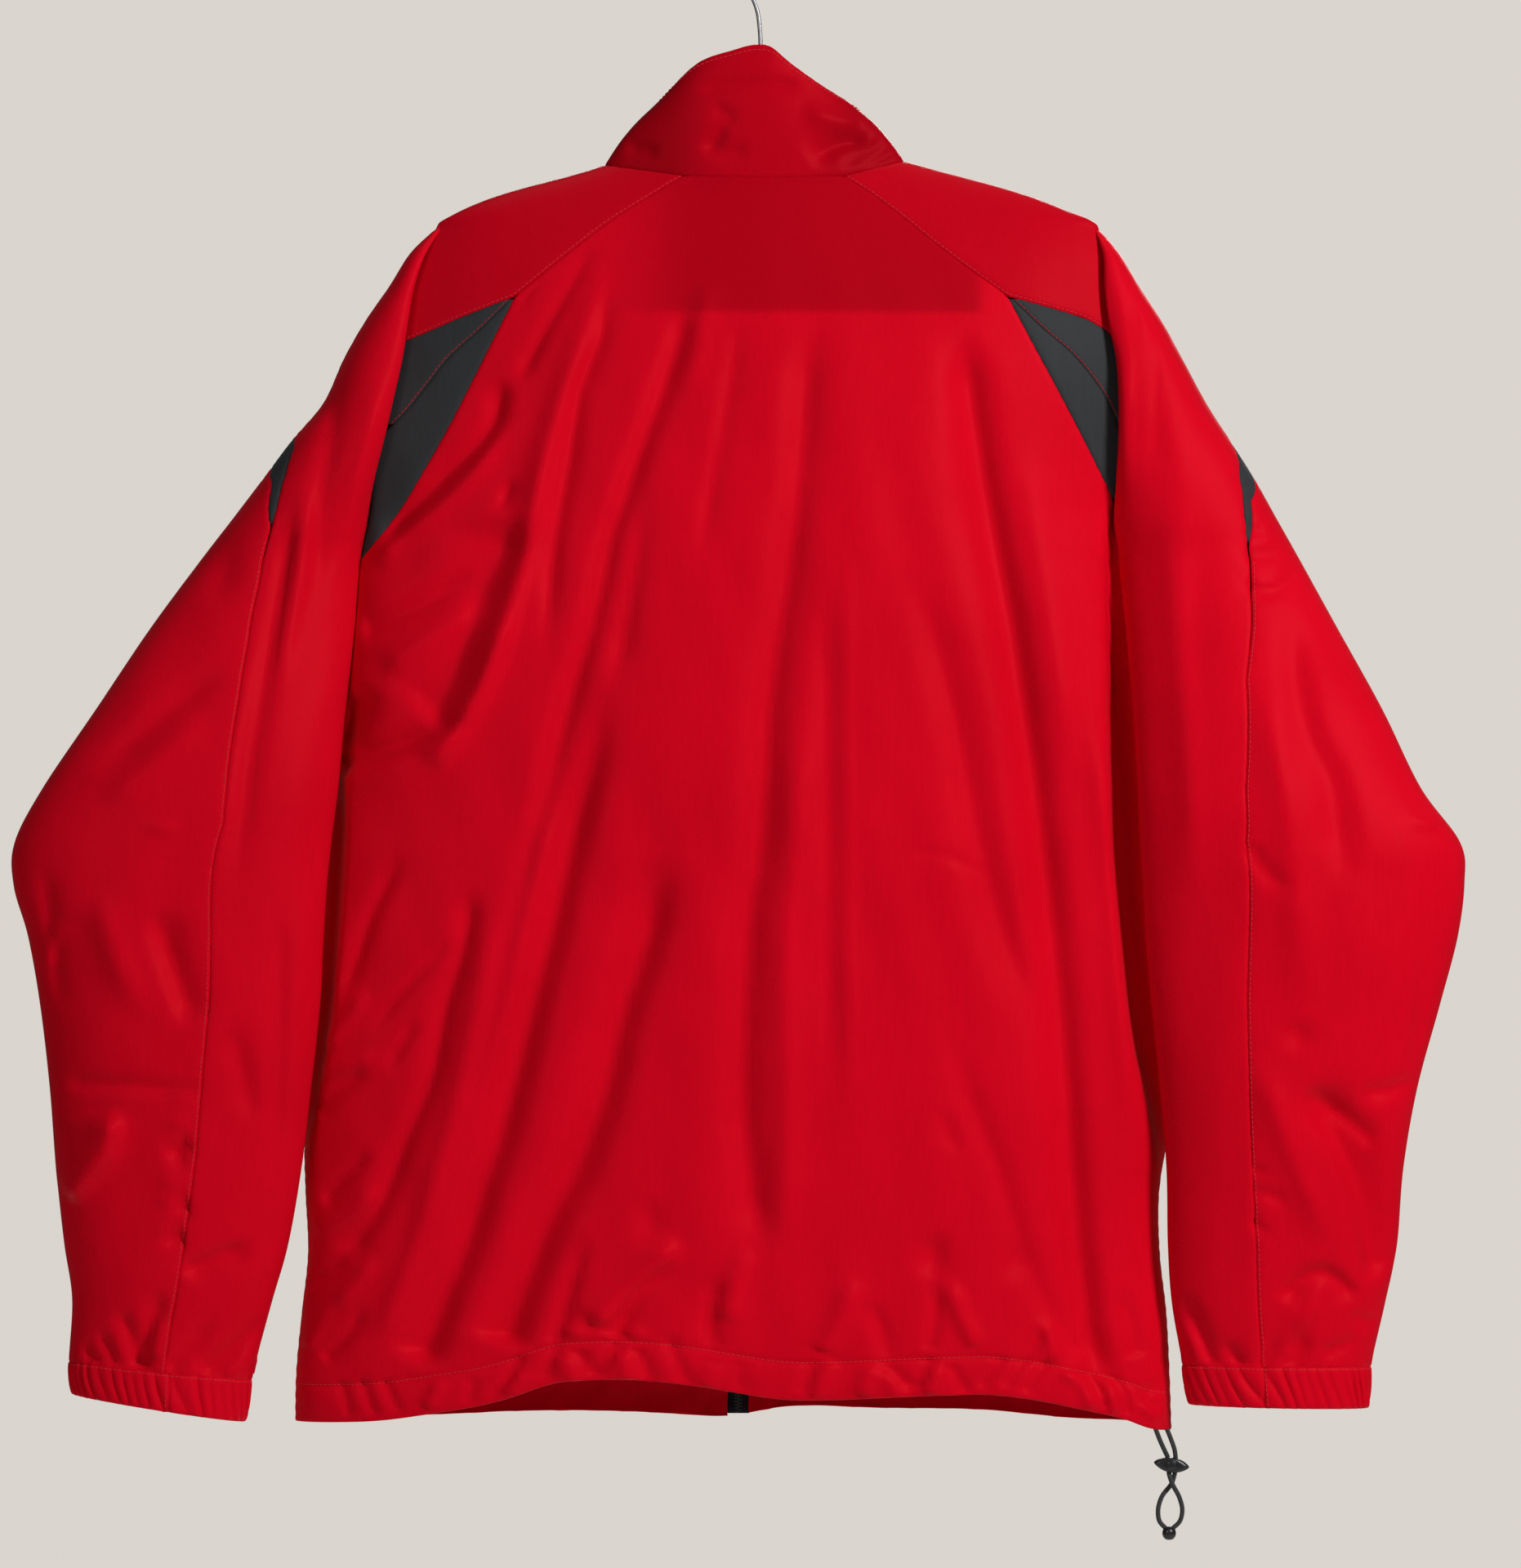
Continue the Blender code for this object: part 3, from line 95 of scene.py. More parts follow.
# Where the hem starts to bend, its level, and the height, puff and stitched groove of its
# casing.
HEM_START = -700.0
HEM_LEVEL = -880.0
CASING = 22.0
CASING_PUFF = 1.2
CASING_GROOVE = 1.1

# Collar: its rough height, its bulge, and how far it starts from the neck's seam. Then how dark
# the painted shade of the collar and of the yokes is, and the deeper tone of the back's upper
# part, where a facing doubles it.
COLLAR_HEIGHT = 75.0
COLLAR_BULGE = 2.5
COLLAR_LIFT = -0.7
COLLAR_PAINTED_SHADE = 0.5
YOKE_PAINTED_SHADE = 0.45
FACING_TONE = 0.7

# Sleeves: the rows of the armpit and of the cuff, over how many rows the folds fade there, over
# what angle the armhole pulls, and the rough sizes that their grids go by. Then where the seam
# goes on down the cuff, and how far the cuffs' gathers lean, in radians of their wave.
ARMPIT_ROW = 9
CUFF_ROW = 21
CUFF_FADE = 0.12
SEAM_PULL = 0.75
SLEEVE_RADIUS = 55.0
CUFF_HEIGHT = 24.0
CUFF_SEAM = {"left": -344.5, "right": 294.0}
CUFF_LEAN = {"left": -4.5, "right": 7.0}

# Sewing, the zip, and the faces of a block whose corners are counted along x, y and z.
STITCH_PITCH = 2.9
STITCH_LENGTH = 2.2
STITCH_RADIUS = 0.24
ZIP_HALF_WIDTH = 6.2
TOOTH_PITCH = 2.0
BLOCK_FACES = [(0, 1, 3, 2), (4, 6, 7, 5), (0, 4, 5, 1), (2, 3, 7, 6), (0, 2, 6, 4),
               (1, 5, 7, 3)]

# The hook: its inner radius, its wire, and the stem that runs up to it.
HOOK_RADIUS = 20.0
WIRE_RADIUS = 1.3
HOOK_STEM = [(0.0, 0.0, -123.5), (0.0, 0.0, -100.0), (0.0, 0.0, -66.0), (-1.2, 0.0, -57.0),
             (-4.6, 0.0, -48.0), (-10.5, 0.0, -40.5)]

# Hem cord: the routes of its two strands, from the casing through the lock to the bead, and the
# profiles of the lock's button and of the bead, by radius and height.
CORD_RADIUS = 1.4
LOCK_CENTRE = (241.4, -13.0, -909.8)
LOCK_HALF = (10.4, 3.9, 4.1)
LOCK_TILT = math.radians(-8)
LOCK_RINGS = 12
LOCK_AROUND = 40
BEAD_CENTRE = (240.0, -13.0, -949.8)
STRANDS = {
    "left": [(231.8, -17.3, -888.2), (234.4, -15.6, -895), (237.6, -13.6, -902),
             (239.4, -13, -906), (239.6, -13, -910), (239.8, -13, -914),
             (241.6, -15.0, -920.4), (246.0, -14.6, -929), (247.7, -13.4, -937),
             (246.2, -13, -943), (241.6, -13, -947.4)],
    "right": [(238.8, -10.6, -889.0), (241.2, -11.4, -895), (243.4, -12.6, -902),
              (243.8, -13, -906), (243.6, -13, -910), (243.4, -13, -914),
              (241.8, -11.0, -920.4), (235.6, -11.4, -929), (233.5, -12.6, -937),
              (234.4, -13, -943), (238.4, -13, -947.4)]}
BUTTON_PROFILE = "2.6 -4.3, 3 -4.042, 3 -2.924, 3 2.924, 3 4.042, 2.6 4.3"
BEAD_PROFILE = """.9 -4, 2.2 -3.7, 3.3 -2.6, 3.9 -1.2, 4 0, 3.9 1.2, 3.4 2.4, 2.6 3.3, 1.7 3.9,
    1.5 4"""

# Each piece's flat cut: the width and length of its rectangle, and its own area.
CUTS = {
    "back": (0.560, 0.745, 0.355),
    "front": (0.290, 0.715, 0.168),
    "yoke": (0.190, 0.165, 0.0175),
    "collar": (0.340, 0.070, 0.0188),
    "insert_upper": (0.060, 0.070, 0.0017),
    "insert_lower_left": (0.072, 0.155, 0.0037),
    "insert_lower_right": (0.062, 0.118, 0.0023),
    "front_insert_left": (0.090, 0.152, 0.0052),
    "front_insert_right": (0.075, 0.130, 0.0039),
    "sleeve_inner": (0.170, 0.700, 0.053),
    "sleeve_insert": (0.075, 0.145, 0.0034),
    "sleeve_outer": (0.270, 0.680, 0.145),
    "cuff": (0.270, 0.026, 0.0065),
    "zip_tape": (0.0136, 0.725, 0.0098),
}
YOKES = ["yoke_cloth_left", "yoke_cloth_right"]

# The studio: the colour that lights, the colour that the camera sees behind, and the lamps by
# name, place and size in metres, and power in watts.
LIT_COLOR = (1.0, 0.985, 0.965, 1)
LIT_STRENGTH = 0.07
SEEN_COLOR = (0.70, 0.665, 0.615, 1)
LAMPS = [
    ("key softbox", (1.5, -1.6, 0.45), 0.5, 46.0),
    ("fill softbox", (-1.3, -2.3, 0.1), 1.0, 13.0),
    ("rear softbox", (0.4, 2.6, 0.8), 1.6, 55.0),
    ("top softbox", (0.0, 0.2, 1.6), 1.2, 8.0),
]
LAMP_AIM = Vector((0, 0, -0.52))
FLOOR_RADIUS = 1450.0
FLOOR_HEIGHT = -1350.0


# ---------------------------------------------------------------- tables


def rows_of(text):
    """Rows of numbers: a comma ends each row."""
    return np.array([row.split() for row in text.split(",")], dtype=float)


def table(text):
    """Named columns: their names, a colon, and the rows."""
    names, body = text.split(":")
    return dict(zip(names.split(), rows_of(body).T))


def pair(names, left, right):
    """The same columns for both sides."""
    return {"left": table(names + ":" + left), "right": table(names + ":" + right)}


def fold(rise, widths, route, fade, crisp=1.7):
    """A soft trough or ridge: its rise in mm, its widths on the left and the right of its middle
    read downwards, the shares of its length over which it comes and goes, and how crisp it is.
    The route is the steepest line of its right flank, which is the line that the eye sees: the
    darkest one of a trough and the brightest one of a ridge."""
    return {"rise": rise, "widths": widths, "route": route, "fade": fade, "crisp": crisp}


def folds(text):
    """Folds, each with its six numbers, a colon, its route of x and z, and a semicolon at its
    end. Lines that start with # are remarks."""
    lines = [line for line in text.splitlines() if not line.startswith("#")]
    found = []
    for entry in " ".join(lines).split(";"):
        numbers, route = entry.split(":")
        rise, left, right, comes, goes, crisp = map(float, numbers.split())
        found.append(fold(rise, (left, right), rows_of(route), (comes, goes), crisp))
    return found


SHOULDER = table("""x z: -262 -262, -206 -196, -189 -181.5, -181 -177, -98 -149.8, 0 -119, 85 -145,
    177.6 -173, 199 -183, 212 -197, 262 -262""")
SIDES = table("""z left right: -380 -232.5 209.5, -405 -234 211.5, -439 -238 215.2, -473 -242 218,
    -500 -246.5 221.5, -540 -253 225.5, -590 -257.5 228.5, -659 -264 235, -722 -267 238.5,
    -749 -266.5 234.5, -787 -265 234.8, -820 -268.5 238.5, -858 -272 240.5, -888 -272.5 241.5""")
TORSO = table("""z depth roundness: -140 38 1, -183 42 1, -250 46 1, -330 49 1, -380 50 1.7,
    -420 51 2.3, -600 52 2.5, -800 50 2.5, -888 48 2.5""")

# Sleeve sections, from the shoulder's tip to the cuff's end. inner and outer are the two
# silhouette points; depth is half the tube; fold is how far the inner fold stands towards the
# viewer; armhole is half the armhole's width; under is how far the torso's edge runs under the
# fold; step parts the two at the seam; lap is how far the fold turns in, in radians.
SLEEVE_EDGES = pair("inner_x inner_z outer_x outer_z", """
    -186.6 -183.2 -189.2 -183.8, -196 -200 -205 -199, -202.5 -220 -217 -218, -206 -241 -231.5 -239,
    -209 -262 -244 -261, -214.5 -287 -256 -287, -220 -310 -274.5 -309, -226 -332 -291 -331,
    -231.5 -356 -310 -356, -234 -380 -328.5 -380, -237.5 -420 -357.5 -420, -242.5 -467 -388 -467,
    -246.5 -513 -418.5 -513, -250.5 -545 -435 -545, -253 -570 -435.5 -570, -255 -600 -427 -600,
    -257 -640 -420 -640, -262.5 -690 -414.5 -688, -268 -735 -411 -735, -276 -780 -406.5 -779,
    -286 -815 -402 -812, -298 -860 -404 -849, -302 -884 -402 -868""", """
    196.8 -184.6 199.4 -185.2, 201.5 -200 211 -199, 202 -220 222.5 -218, 204.5 -241 236 -239,
    208.5 -262 248 -261, 210 -287 262 -287, 210 -310 276 -309, 209.5 -332 290 -331,
    209.5 -356 304 -356, 211 -380 317.5 -380, 215 -420 339 -420, 218.5 -467 364 -467,
    221 -513 386 -513, 222.5 -545 409 -545, 224 -570 411.5 -568, 225.5 -600 407.5 -600,
    229 -640 397 -640, 234 -690 384 -688, 238 -735 376 -735, 239 -780 372.5 -780,
    241.5 -815 365.5 -815, 248 -851 357.5 -852, 252 -874 356 -876""")
SLEEVE_DEPTHS = table("""depth fold armhole under step lap middle: 2.4 1.6 1 .2 -2.2 .5 0,
    12 10 5 1.5 2 .5 0, 17 14.5 8 2.5 2 .5 0, 21 17.5 10 2.5 2 .5 0, 25 19.5 12 2.5 2 .5 0,
    28 20.5 13 2.5 2 .5 0, 30 19.5 12 2.5 2 .5 0, 31 16 9 1.8 2 .5 0, 31 8 4 -1 1.7 .35 0,
    31 0 0 -1.5 1.5 0 0, 32 0 0 0 0 0 -7, 33 0 0 0 0 0 -20, 34 0 0 0 0 0 -27, 35 0 0 0 0 0 -28,
    35 0 0 0 0 0 -28, 35 0 0 0 0 0 -28, 34 0 0 0 0 0 -28, 33 0 0 0 0 0 -27, 31 0 0 0 0 0 -25,
    29 0 0 0 0 0 -22, 27 0 0 0 0 0 -20, 24 0 0 0 0 0 -18, 23 0 0 0 0 0 -18""")
SLEEVES = {side: {**SLEEVE_EDGES[side], **SLEEVE_DEPTHS} for side in LEFT_RIGHT}

# Seams on the torso: each is the across value at a height.
RAGLAN = pair("z x", """
    -154 -44, -167 -65, -181 -87, -197 -108, -211 -125.5, -225.5 -143""", """
    -154 49, -167 68, -181 86, -197 105.6, -211 124.5, -225.5 145""")
PANEL_EDGE = pair("z x", """
    -225.5 -143, -251 -156, -273 -167, -300 -181, -328 -197, -350 -210.5, -366 -223,
    -380 -235.6""", """
    -225.5 145, -251 158.5, -273 170.5, -300 185, -328 199.5, -343 207, -351 208.6, -380 212.6""")
INSERT_TOP = pair("z x", """
    -225.5 -143, -232 -160, -238 -176, -245 -192.5, -252 -210""", """
    -225.5 145, -232 170, -238 191, -245 204, -252 209""")
INSERT_SEAM = pair("z x", """
    -225.5 -144, -246 -165, -260 -181, -276 -194, -292 -207, -306 -221.5""", """
    -225.5 146, -245 166.6, -257 181, -271 193.5, -291 206.5, -306 212.5""")
FRONT_RAGLAN = pair("z x", """
    -181 -62, -189 -76, -197 -91, -207 -109, -216 -126, -225.5 -143""", """
    -181 60, -189 75, -197 91, -207 110, -216 127, -225.5 145""")

# Where the black crescent starts and ends round the sleeve: half turns from the inner fold,
# over the back (0.5), the outline (1) and the front (1.5) to the front armhole (2.2).
CRESCENT = {
    "left": {
        "upper": table("z turn: -207 2.2, -238 1.75, -272 1.35, -305 1"),
        "lower": table("z turn: -256 2.2, -280 1.75, -302 1.35, -324 1"),
        "upper_back": table("z x: -313 -272.5, -328 -277, -348 -282, -361 -285"),
        "lower_back": table("z x: -335 -285.2, -361 -285.8")},
    "right": {
        "upper": table("z turn: -207 2.2, -238 1.75, -274 1.35, -310 1"),
        "lower": table("z turn: -258 2.2, -284 1.75, -308 1.35, -330 1"),
        "upper_back": table("z x: -330 281, -352 283.4, -373 285.2"),
        "lower_back": table("z x: -345 287.8, -373 286")},
}
SLEEVE_SEAM = pair("z x", """
    -361 -285.4, -393 -292, -427 -298, -461 -303, -532 -311, -623 -319, -674 -323, -727 -327.5,
    -765 -333, -820 -342, -881 -347""", """
    -373 285.4, -450 283, -543 282, -636 283, -722 285.5, -799 289.4, -853 293.3, -880 295""")

# The hem's edge across the back and the front.
BACK_HEM = table("""x z: -273 -884.5, -250 -884, -226 -882.8, -187 -877.3, -160 -872.4, -141 -867,
    -128 -862.2, -117 -859.3, -103 -858.1, -85 -857.5, -70 -857.9, -55 -859.1, -33 -861.9,
    -14 -865.1, 14 -869.2, 45 -869.4, 72 -868.3, 105 -867, 133 -866.7, 160 -870, 188 -876,
    214 -882.4, 229 -888, 241 -889.8""")
FRONT_HEM = table("""x z: -273 -884, -230 -885, -187 -884, -149 -882.6, -117 -882.2, -82 -882.8,
    -49 -884.4, -20 -885.6, 14 -880.2, 72 -880.8, 133 -881.6, 188 -886, 215 -886.5, 241 -888""")

# The zip's line, the neck's seam, and the collar's top edge round the neck.
ZIP_LINE = table("z x: -170 0, -236 0, -420 -4, -640 -9, -890 -13")
NECK_BACK = table("x z: -44 -154, -20 -154.6, 0 -154.8, 25 -154.6, 49 -154")
NECK_FRONT = pair("x z", """
    -62 -181, -48 -202, -29 -220, -6.5 -232""", """
    6.5 -232, 29 -220, 47 -202, 60 -181""")
COLLAR_TOP = table("""share x y z: -1 -6.8 47 -170, -.88 -28 44 -165, -.75 -52 34 -151,
    -.62 -67 19 -136, -.5 -66 5 -121, -.4 -54 -6 -106, -.28 -36 -16 -88.5, -.15 -15 -21 -81,
    -.03 -2 -22 -78, .05 6 -22 -79, .14 17 -20.5 -88, .27 36 -16 -101.5, .4 55 -6 -113.5,
    .5 63 5 -123, .62 64 19 -136, .75 50 34 -151, .88 28 44 -165, 1 6.8 47 -170""")

# How far the torso's sides fill out behind the sleeves' inner edges.
SIDE_FILL = table("z more: -352 0, -378 3, -392 4, -480 3, -560 2, -700 1, -745 0")

# Where the back turns in sharply beside a sleeve, how far it drops back there, and how wide
# the turn is.
SIDE_CREASE = pair("z x drop", """
    -455 -232 0, -500 -238 7, -565 -241 10, -626 -246 12, -680 -253 9, -720 -261 4,
    -745 -266 0""", """
    -343 207 0, -352 204 5, -368 202 14, -400 201.3 22, -441 201.3 25, -500 202.3 26,
    -554 204.3 26, -600 208.6 24, -665 216.7 18, -698 224.8 11, -735 231.5 4, -760 236 0""")
CREASE_TURN = 5.5

BACK_FOLDS = folds("""
# The sharp fold from the left raglan seam to the insert, and the ridge under it.
-6 7 5 .12 .2 1.8: -96 -192, -104 -210, -115 -229, -125 -247, -134 -264, -141 -278;
-6.5 8 6.5 .12 .1 1.8: -146 -270, -150 -284, -152 -296, -158 -307, -169 -319, -182 -331, -195 -344,
  -209 -357, -220 -370;
3.5 6 7 .3 .1 1.7: -140 -292, -160 -322, -182 -346, -206 -365, -227 -384;
-1.4 4 4 .3 .3 1.7: -126 -212, -134 -222, -142 -234;
# The long bright ridge, and the dark line that parts it from the panel's middle.
6.5 9 6 .06 .06 1.7: -90 -198, -93 -218, -101 -242, -108 -266, -115 -288, -123 -317, -130 -349,
  -135 -381, -142 -403, -150 -427, -160 -454, -174 -478, -190 -500;
3.6 15 7 .3 .1 1.7: -140 -400, -150 -427, -160 -454, -174 -478, -192 -504;
-3.6 5 7 .1 .3 1.7: -87 -216, -89 -247, -94 -259, -102 -276, -106 -301, -110 -328, -116 -358,
  -120 -400, -124 -450;
-2.4 4 5 .4 .4 1.7: -143 -330, -151 -352;
# The pocket beside the left armhole: two lit facets, and the dark flank between them.
-7 24 14 .15 .12 1.7: -140 -350, -142 -371, -150 -387, -158 -403, -165 -421, -170 -443, -180 -466,
  -194 -482;
-9 9 5.5 .25 .03 1.8: -166 -470, -182 -481, -203 -488, -222 -495, -246 -502;
-13 11 10 .3 .15 1.7: -230 -452, -232 -466, -237 -478, -243 -490;
5 5 13 .3 .03 1.7: -176 -492, -200 -502, -226 -511, -250 -517;
-4.2 8 7 .3 .1 1.7: -164 -388, -179 -397, -196 -408, -214 -416, -236 -424;
3.6 9 8 .3 .2 1.7: -160 -398, -174 -416, -196 -432, -224 -448;
# Long folds that fall from the yoke to the hem, from left to right.
-5 8 8 .06 .35 1.8: -38 -223, -44 -253, -51 -275, -61 -301, -69 -328, -78 -346, -84 -372, -92 -410,
  -104 -450, -117 -500, -132 -560, -146 -620;
-3.4 9 8 .4 .3 1.7: -62 -330, -70 -390, -79 -440, -86 -464;
-8.5 15 11 .2 .03 1.8: -84 -440, -92 -500, -103 -536, -113 -583, -124 -626, -135 -673, -146 -716,
  -157 -752, -171 -795, -185 -831, -196 -858;
-9 16 12.5 .15 .03 1.8: -50 -552, -56 -586, -63 -615, -74 -644, -81 -680, -92 -716, -108 -752,
  -124 -784, -133 -812, -144 -846;
-6.5 8 6 .08 .08 1.7: -165 -572, -173 -615, -182 -644, -187 -673, -193 -694, -203 -716, -211 -738,
  -222 -763, -233 -781, -250 -793;
2.6 8 8 .2 .1 1.7: -147 -560, -158 -620, -170 -680, -186 -740, -204 -800, -224 -846;
2.2 5 5 .2 .4 1.7: -119 -520, -132 -580, -148 -650, -164 -710;
-1.8 6 6 .1 .4 1.7: -8 -238, -17 -295, -27 -351, -34 -402;
2.4 6 7 .1 .5 1.7: -27 -216, -32 -250, -42 -290;
-4.8 13 10 .08 .06 1.7: 40 -232, 33 -276, 27 -351, 18 -414, 11 -465, 7 -534, -1 -597, -4 -660,
  -4 -710, 2 -756, 9 -790;
2.4 9 9 .25 .15 1.7: 28 -440, 26 -520, 20 -620, 20 -740, 16 -790;
-1.7 7 6 .2 .3 1.7: 42 -380, 43 -480, 44 -600, 46 -730;
1 3 3 .2 .3 1.7: 53 -360, 53 -480, 54 -600, 56 -730;
-3.2 13 11 .2 .25 1.7: 94 -380, 108 -420, 118 -460, 131 -521, 139 -560, 151 -602, 163 -633,
  175 -672;
-9.6 13 11 .06 .02 1.9: 126 -238, 128 -262, 134 -307, 144 -364, 153 -408, 159 -452, 167 -504,
  174 -560, 180 -618, 186 -675, 189 -733, 195 -791, 201 -841, 209 -874;
3.4 14 17 .3 .3 1.7: 164 -300, 172 -350, 180 -400, 188 -460, 192 -520;
-2.2 9 8 .3 .05 1.7: 114 -646, 132 -706, 144 -734, 155 -772, 174 -818, 192 -850;
3 9 14 .3 .3 1.7: 200 -420, 212 -540, 222 -650, 228 -760;
# Pulls at the left edge, between the side seam and the long folds.
-3.2 6 5 .25 .2 1.7: -206 -552, -218 -572, -229 -597, -236 -619, -247 -640;
3 5 5 .3 .05 1.7: -228 -634, -240 -650, -254 -666;
-2.6 4 4 .2 .3 1.7: -178 -602, -196 -621, -212 -638, -230 -660;
-2.4 4 4 .3 .3 1.7: -198 -650, -208 -664, -219 -682;
3 4 4 .3 .05 1.7: -222 -672, -240 -678, -260 -682;
-3.4 5 4 .3 .05 1.7: -228 -680, -242 -690, -260 -706;
-3.4 5 4 .3 .1 1.7: -226 -728, -240 -742, -256 -760;
3.6 5 4 .3 .05 1.7: -220 -750, -238 -764, -260 -779;
-3 4 4 .3 .05 1.7: -240 -790, -252 -800, -266 -808;
3.4 5 5 .2 .05 1.7: -222 -792, -238 -808, -254 -826, -268 -846;
-3.6 4 4 .3 .05 1.7: -242 -814, -254 -826, -268 -838;
-3 4 4 .3 .05 1.7: -230 -820, -240 -836, -256 -852;
# Crumples above the hem.
-2 10 9 .45 .45 1.7: -58 -752, -60 -766, -55 -782;
6 9 6 .2 .1 1.7: -44 -780, -58 -794, -74 -810, -96 -832;
-7 8 7 .4 .03 1.7: -42 -795, -60 -804, -73 -817, -82 -838;
-5 6 5 .3 .05 1.7: -98 -776, -106 -799, -112 -820, -119 -842;
-3 6 6 .3 .1 1.7: -18 -800, -26 -820, -24 -844;
3 7 7 .3 .2 1.7: -2 -782, -10 -800, -16 -830;
3 7 6 .3 .05 1.7: 60 -800, 50 -826, 40 -846;
-2.6 5 5 .3 .05 1.7: 66 -812, 74 -832, 78 -848;
-3.4 9 8 .45 .45 1.7: 108 -772, 107 -788, 104 -806;
3.6 5 5 .3 .1 1.7: 112 -800, 120 -820, 130 -842;
-3 4 4 .3 .1 1.7: 105 -800, 105 -820, 102 -846;
-1.8 7 7 .45 .45 1.7: 151 -776, 153 -792, 147 -808;
-1.6 5 5 .4 .4 1.7: 110 -698, 114 -716, 120 -730;
2.4 5 5 .4 .1 1.7: 168 -822, 174 -836, 178 -850;
-2.6 6 6 .4 .1 1.7: 214 -806, 220 -824, 226 -850;
-.8 3 3 .3 .3 1.7: 84 -548, 112 -552, 136 -566""")
# Tucks that the cord draws into the hem's casing, seen from the back.
HEM_TUCKS = folds("""
-1.5 3 3 .2 .1 1.7: -246 -861, -243 -872, -240 -884;
-2 3 3 .2 .1 1.7: -234 -859, -230 -870, -225 -883;
-2 3 3 .2 .1 1.7: -221 -859, -216 -870, -211 -881;
2 4 4 .3 .1 1.7: -184 -862, -189 -870, -194 -879;
-1.8 3 4 .3 .2 1.7: -170 -857, -167 -866, -172 -877;
-2.8 4 4 .2 .2 1.7: -137 -846, -144 -858, -149 -868;
-1.6 3 3 .3 .3 1.7: -150 -864, -158 -873;
2.2 4 4 .3 .2 1.7: -136 -856, -141 -863, -147 -871;
-3.4 4 3.5 .15 .1 1.7: -117 -840, -121 -850, -126 -862;
-3.4 4 3.5 .15 .1 1.7: -109 -841, -101 -849, -95 -860;
-3.4 4 3.5 .15 .1 1.7: -80 -840, -88 -849, -95 -860;
-3.4 4 3.5 .15 .1 1.7: -73 -840, -67 -849, -61 -862;
-3 4 3.5 .2 .1 1.7: -53 -831, -48 -845, -40 -864;
2.2 5 5 .3 .1 1.7: -114 -844, -111 -853, -107 -862;
2.2 5 5 .3 .1 1.7: -78 -842, -77 -852, -75 -861;
2 4 4 .3 .3 1.7: -116 -829, -108 -831, -101 -833;
2 4 4 .3 .3 1.7: -80 -829, -73 -831, -66 -834;
1.8 5 4 .3 .2 1.7: -26 -850, -27 -859, -31 -866;
-1.6 5 4 .3 .2 1.7: -8 -848, -10 -858, -6 -868;
2.4 4 4 .2 .1 1.7: 44 -849, 40 -858, 35 -872;
-2 4 4 .3 .2 1.7: 35 -849, 30 -860, 27 -871;
2.4 5 5 .3 .1 1.7: 67 -850, 66 -860, 63 -871;
2 4 4 .3 .1 1.7: 73 -853, 79 -862, 85 -871;
-2.6 4 4 .2 .2 1.7: 73 -848, 82 -857, 93 -867;
-2.2 4 4 .2 .2 1.7: 104 -848, 98 -858, 94 -869;
2.2 4 4 .3 .1 1.7: 107 -852, 104 -861, 101 -870;
-2.4 4 4 .2 .2 1.7: 111 -849, 118 -859, 125 -870;
-2.4 3.5 3.5 .2 .15 1.7: 147 -848, 139 -857, 130 -868;
-2.4 3.5 3.5 .2 .15 1.7: 170 -831, 160 -848, 152 -857, 143 -869;
-2.4 3.5 3.5 .2 .15 1.7: 173 -850, 165 -859, 156 -871;
2.4 4 4 .2 .1 1.7: 176 -855, 189 -861, 199 -879;
-2 3 3 .2 .1 1.7: 187 -855, 199 -863, 206 -880;
2.4 4 4 .2 .1 1.7: 196 -857, 206 -864, 212 -882;
-1.8 3 3 .2 .1 1.7: 207 -858, 215 -868, 219 -884;
-1.8 3 3 .2 .2 1.7: 238 -865, 230 -872, 236 -881;
1.8 3 3 .2 .2 1.7: 225 -876, 232 -881, 238 -888""")
FRONT_FOLDS = folds("""
-7 11 13 .1 .05 1.8: -92 -232, -104 -330, -120 -420, -140 -600, -166 -850;
5 12 13 .2 .1 1.7: -70 -260, -84 -400, -104 -560, -128 -720, -140 -850;
-5.5 12 12 .2 .05 1.7: -46 -300, -62 -500, -82 -700, -90 -850;
3.5 12 14 .2 .3 1.7: -30 -300, -34 -520, -48 -760;
-6 11 12 .2 .05 1.7: -206 -440, -186 -560, -184 -700, -208 -850;
4 11 11 .3 .3 1.7: -170 -420, -160 -580, -172 -740;
-7.5 10 11 .1 .5 1.7: -214 -372, -180 -440, -150 -480, -128 -490;
-7 12 11 .1 .05 1.8: 98 -232, 112 -340, 120 -430, 132 -610, 152 -850;
4.5 13 12 .2 .2 1.7: 74 -250, 88 -420, 104 -600, 118 -800;
-5 12 13 .2 .05 1.7: 42 -320, 54 -520, 62 -700, 60 -850;
-5.5 11 12 .2 .05 1.7: 194 -430, 180 -560, 182 -700, 198 -850;
3.5 12 12 .3 .3 1.7: 164 -420, 154 -600, 168 -780;
-6.5 9 11 .1 .5 1.7: 196 -372, 170 -424, 140 -470, 116 -484;
2.6 8 9 .3 .2 1.7: -24 -760, -50 -800, -66 -850;
-2.6 8 9 .3 .2 1.7: 26 -770, 44 -812, 84 -850""")
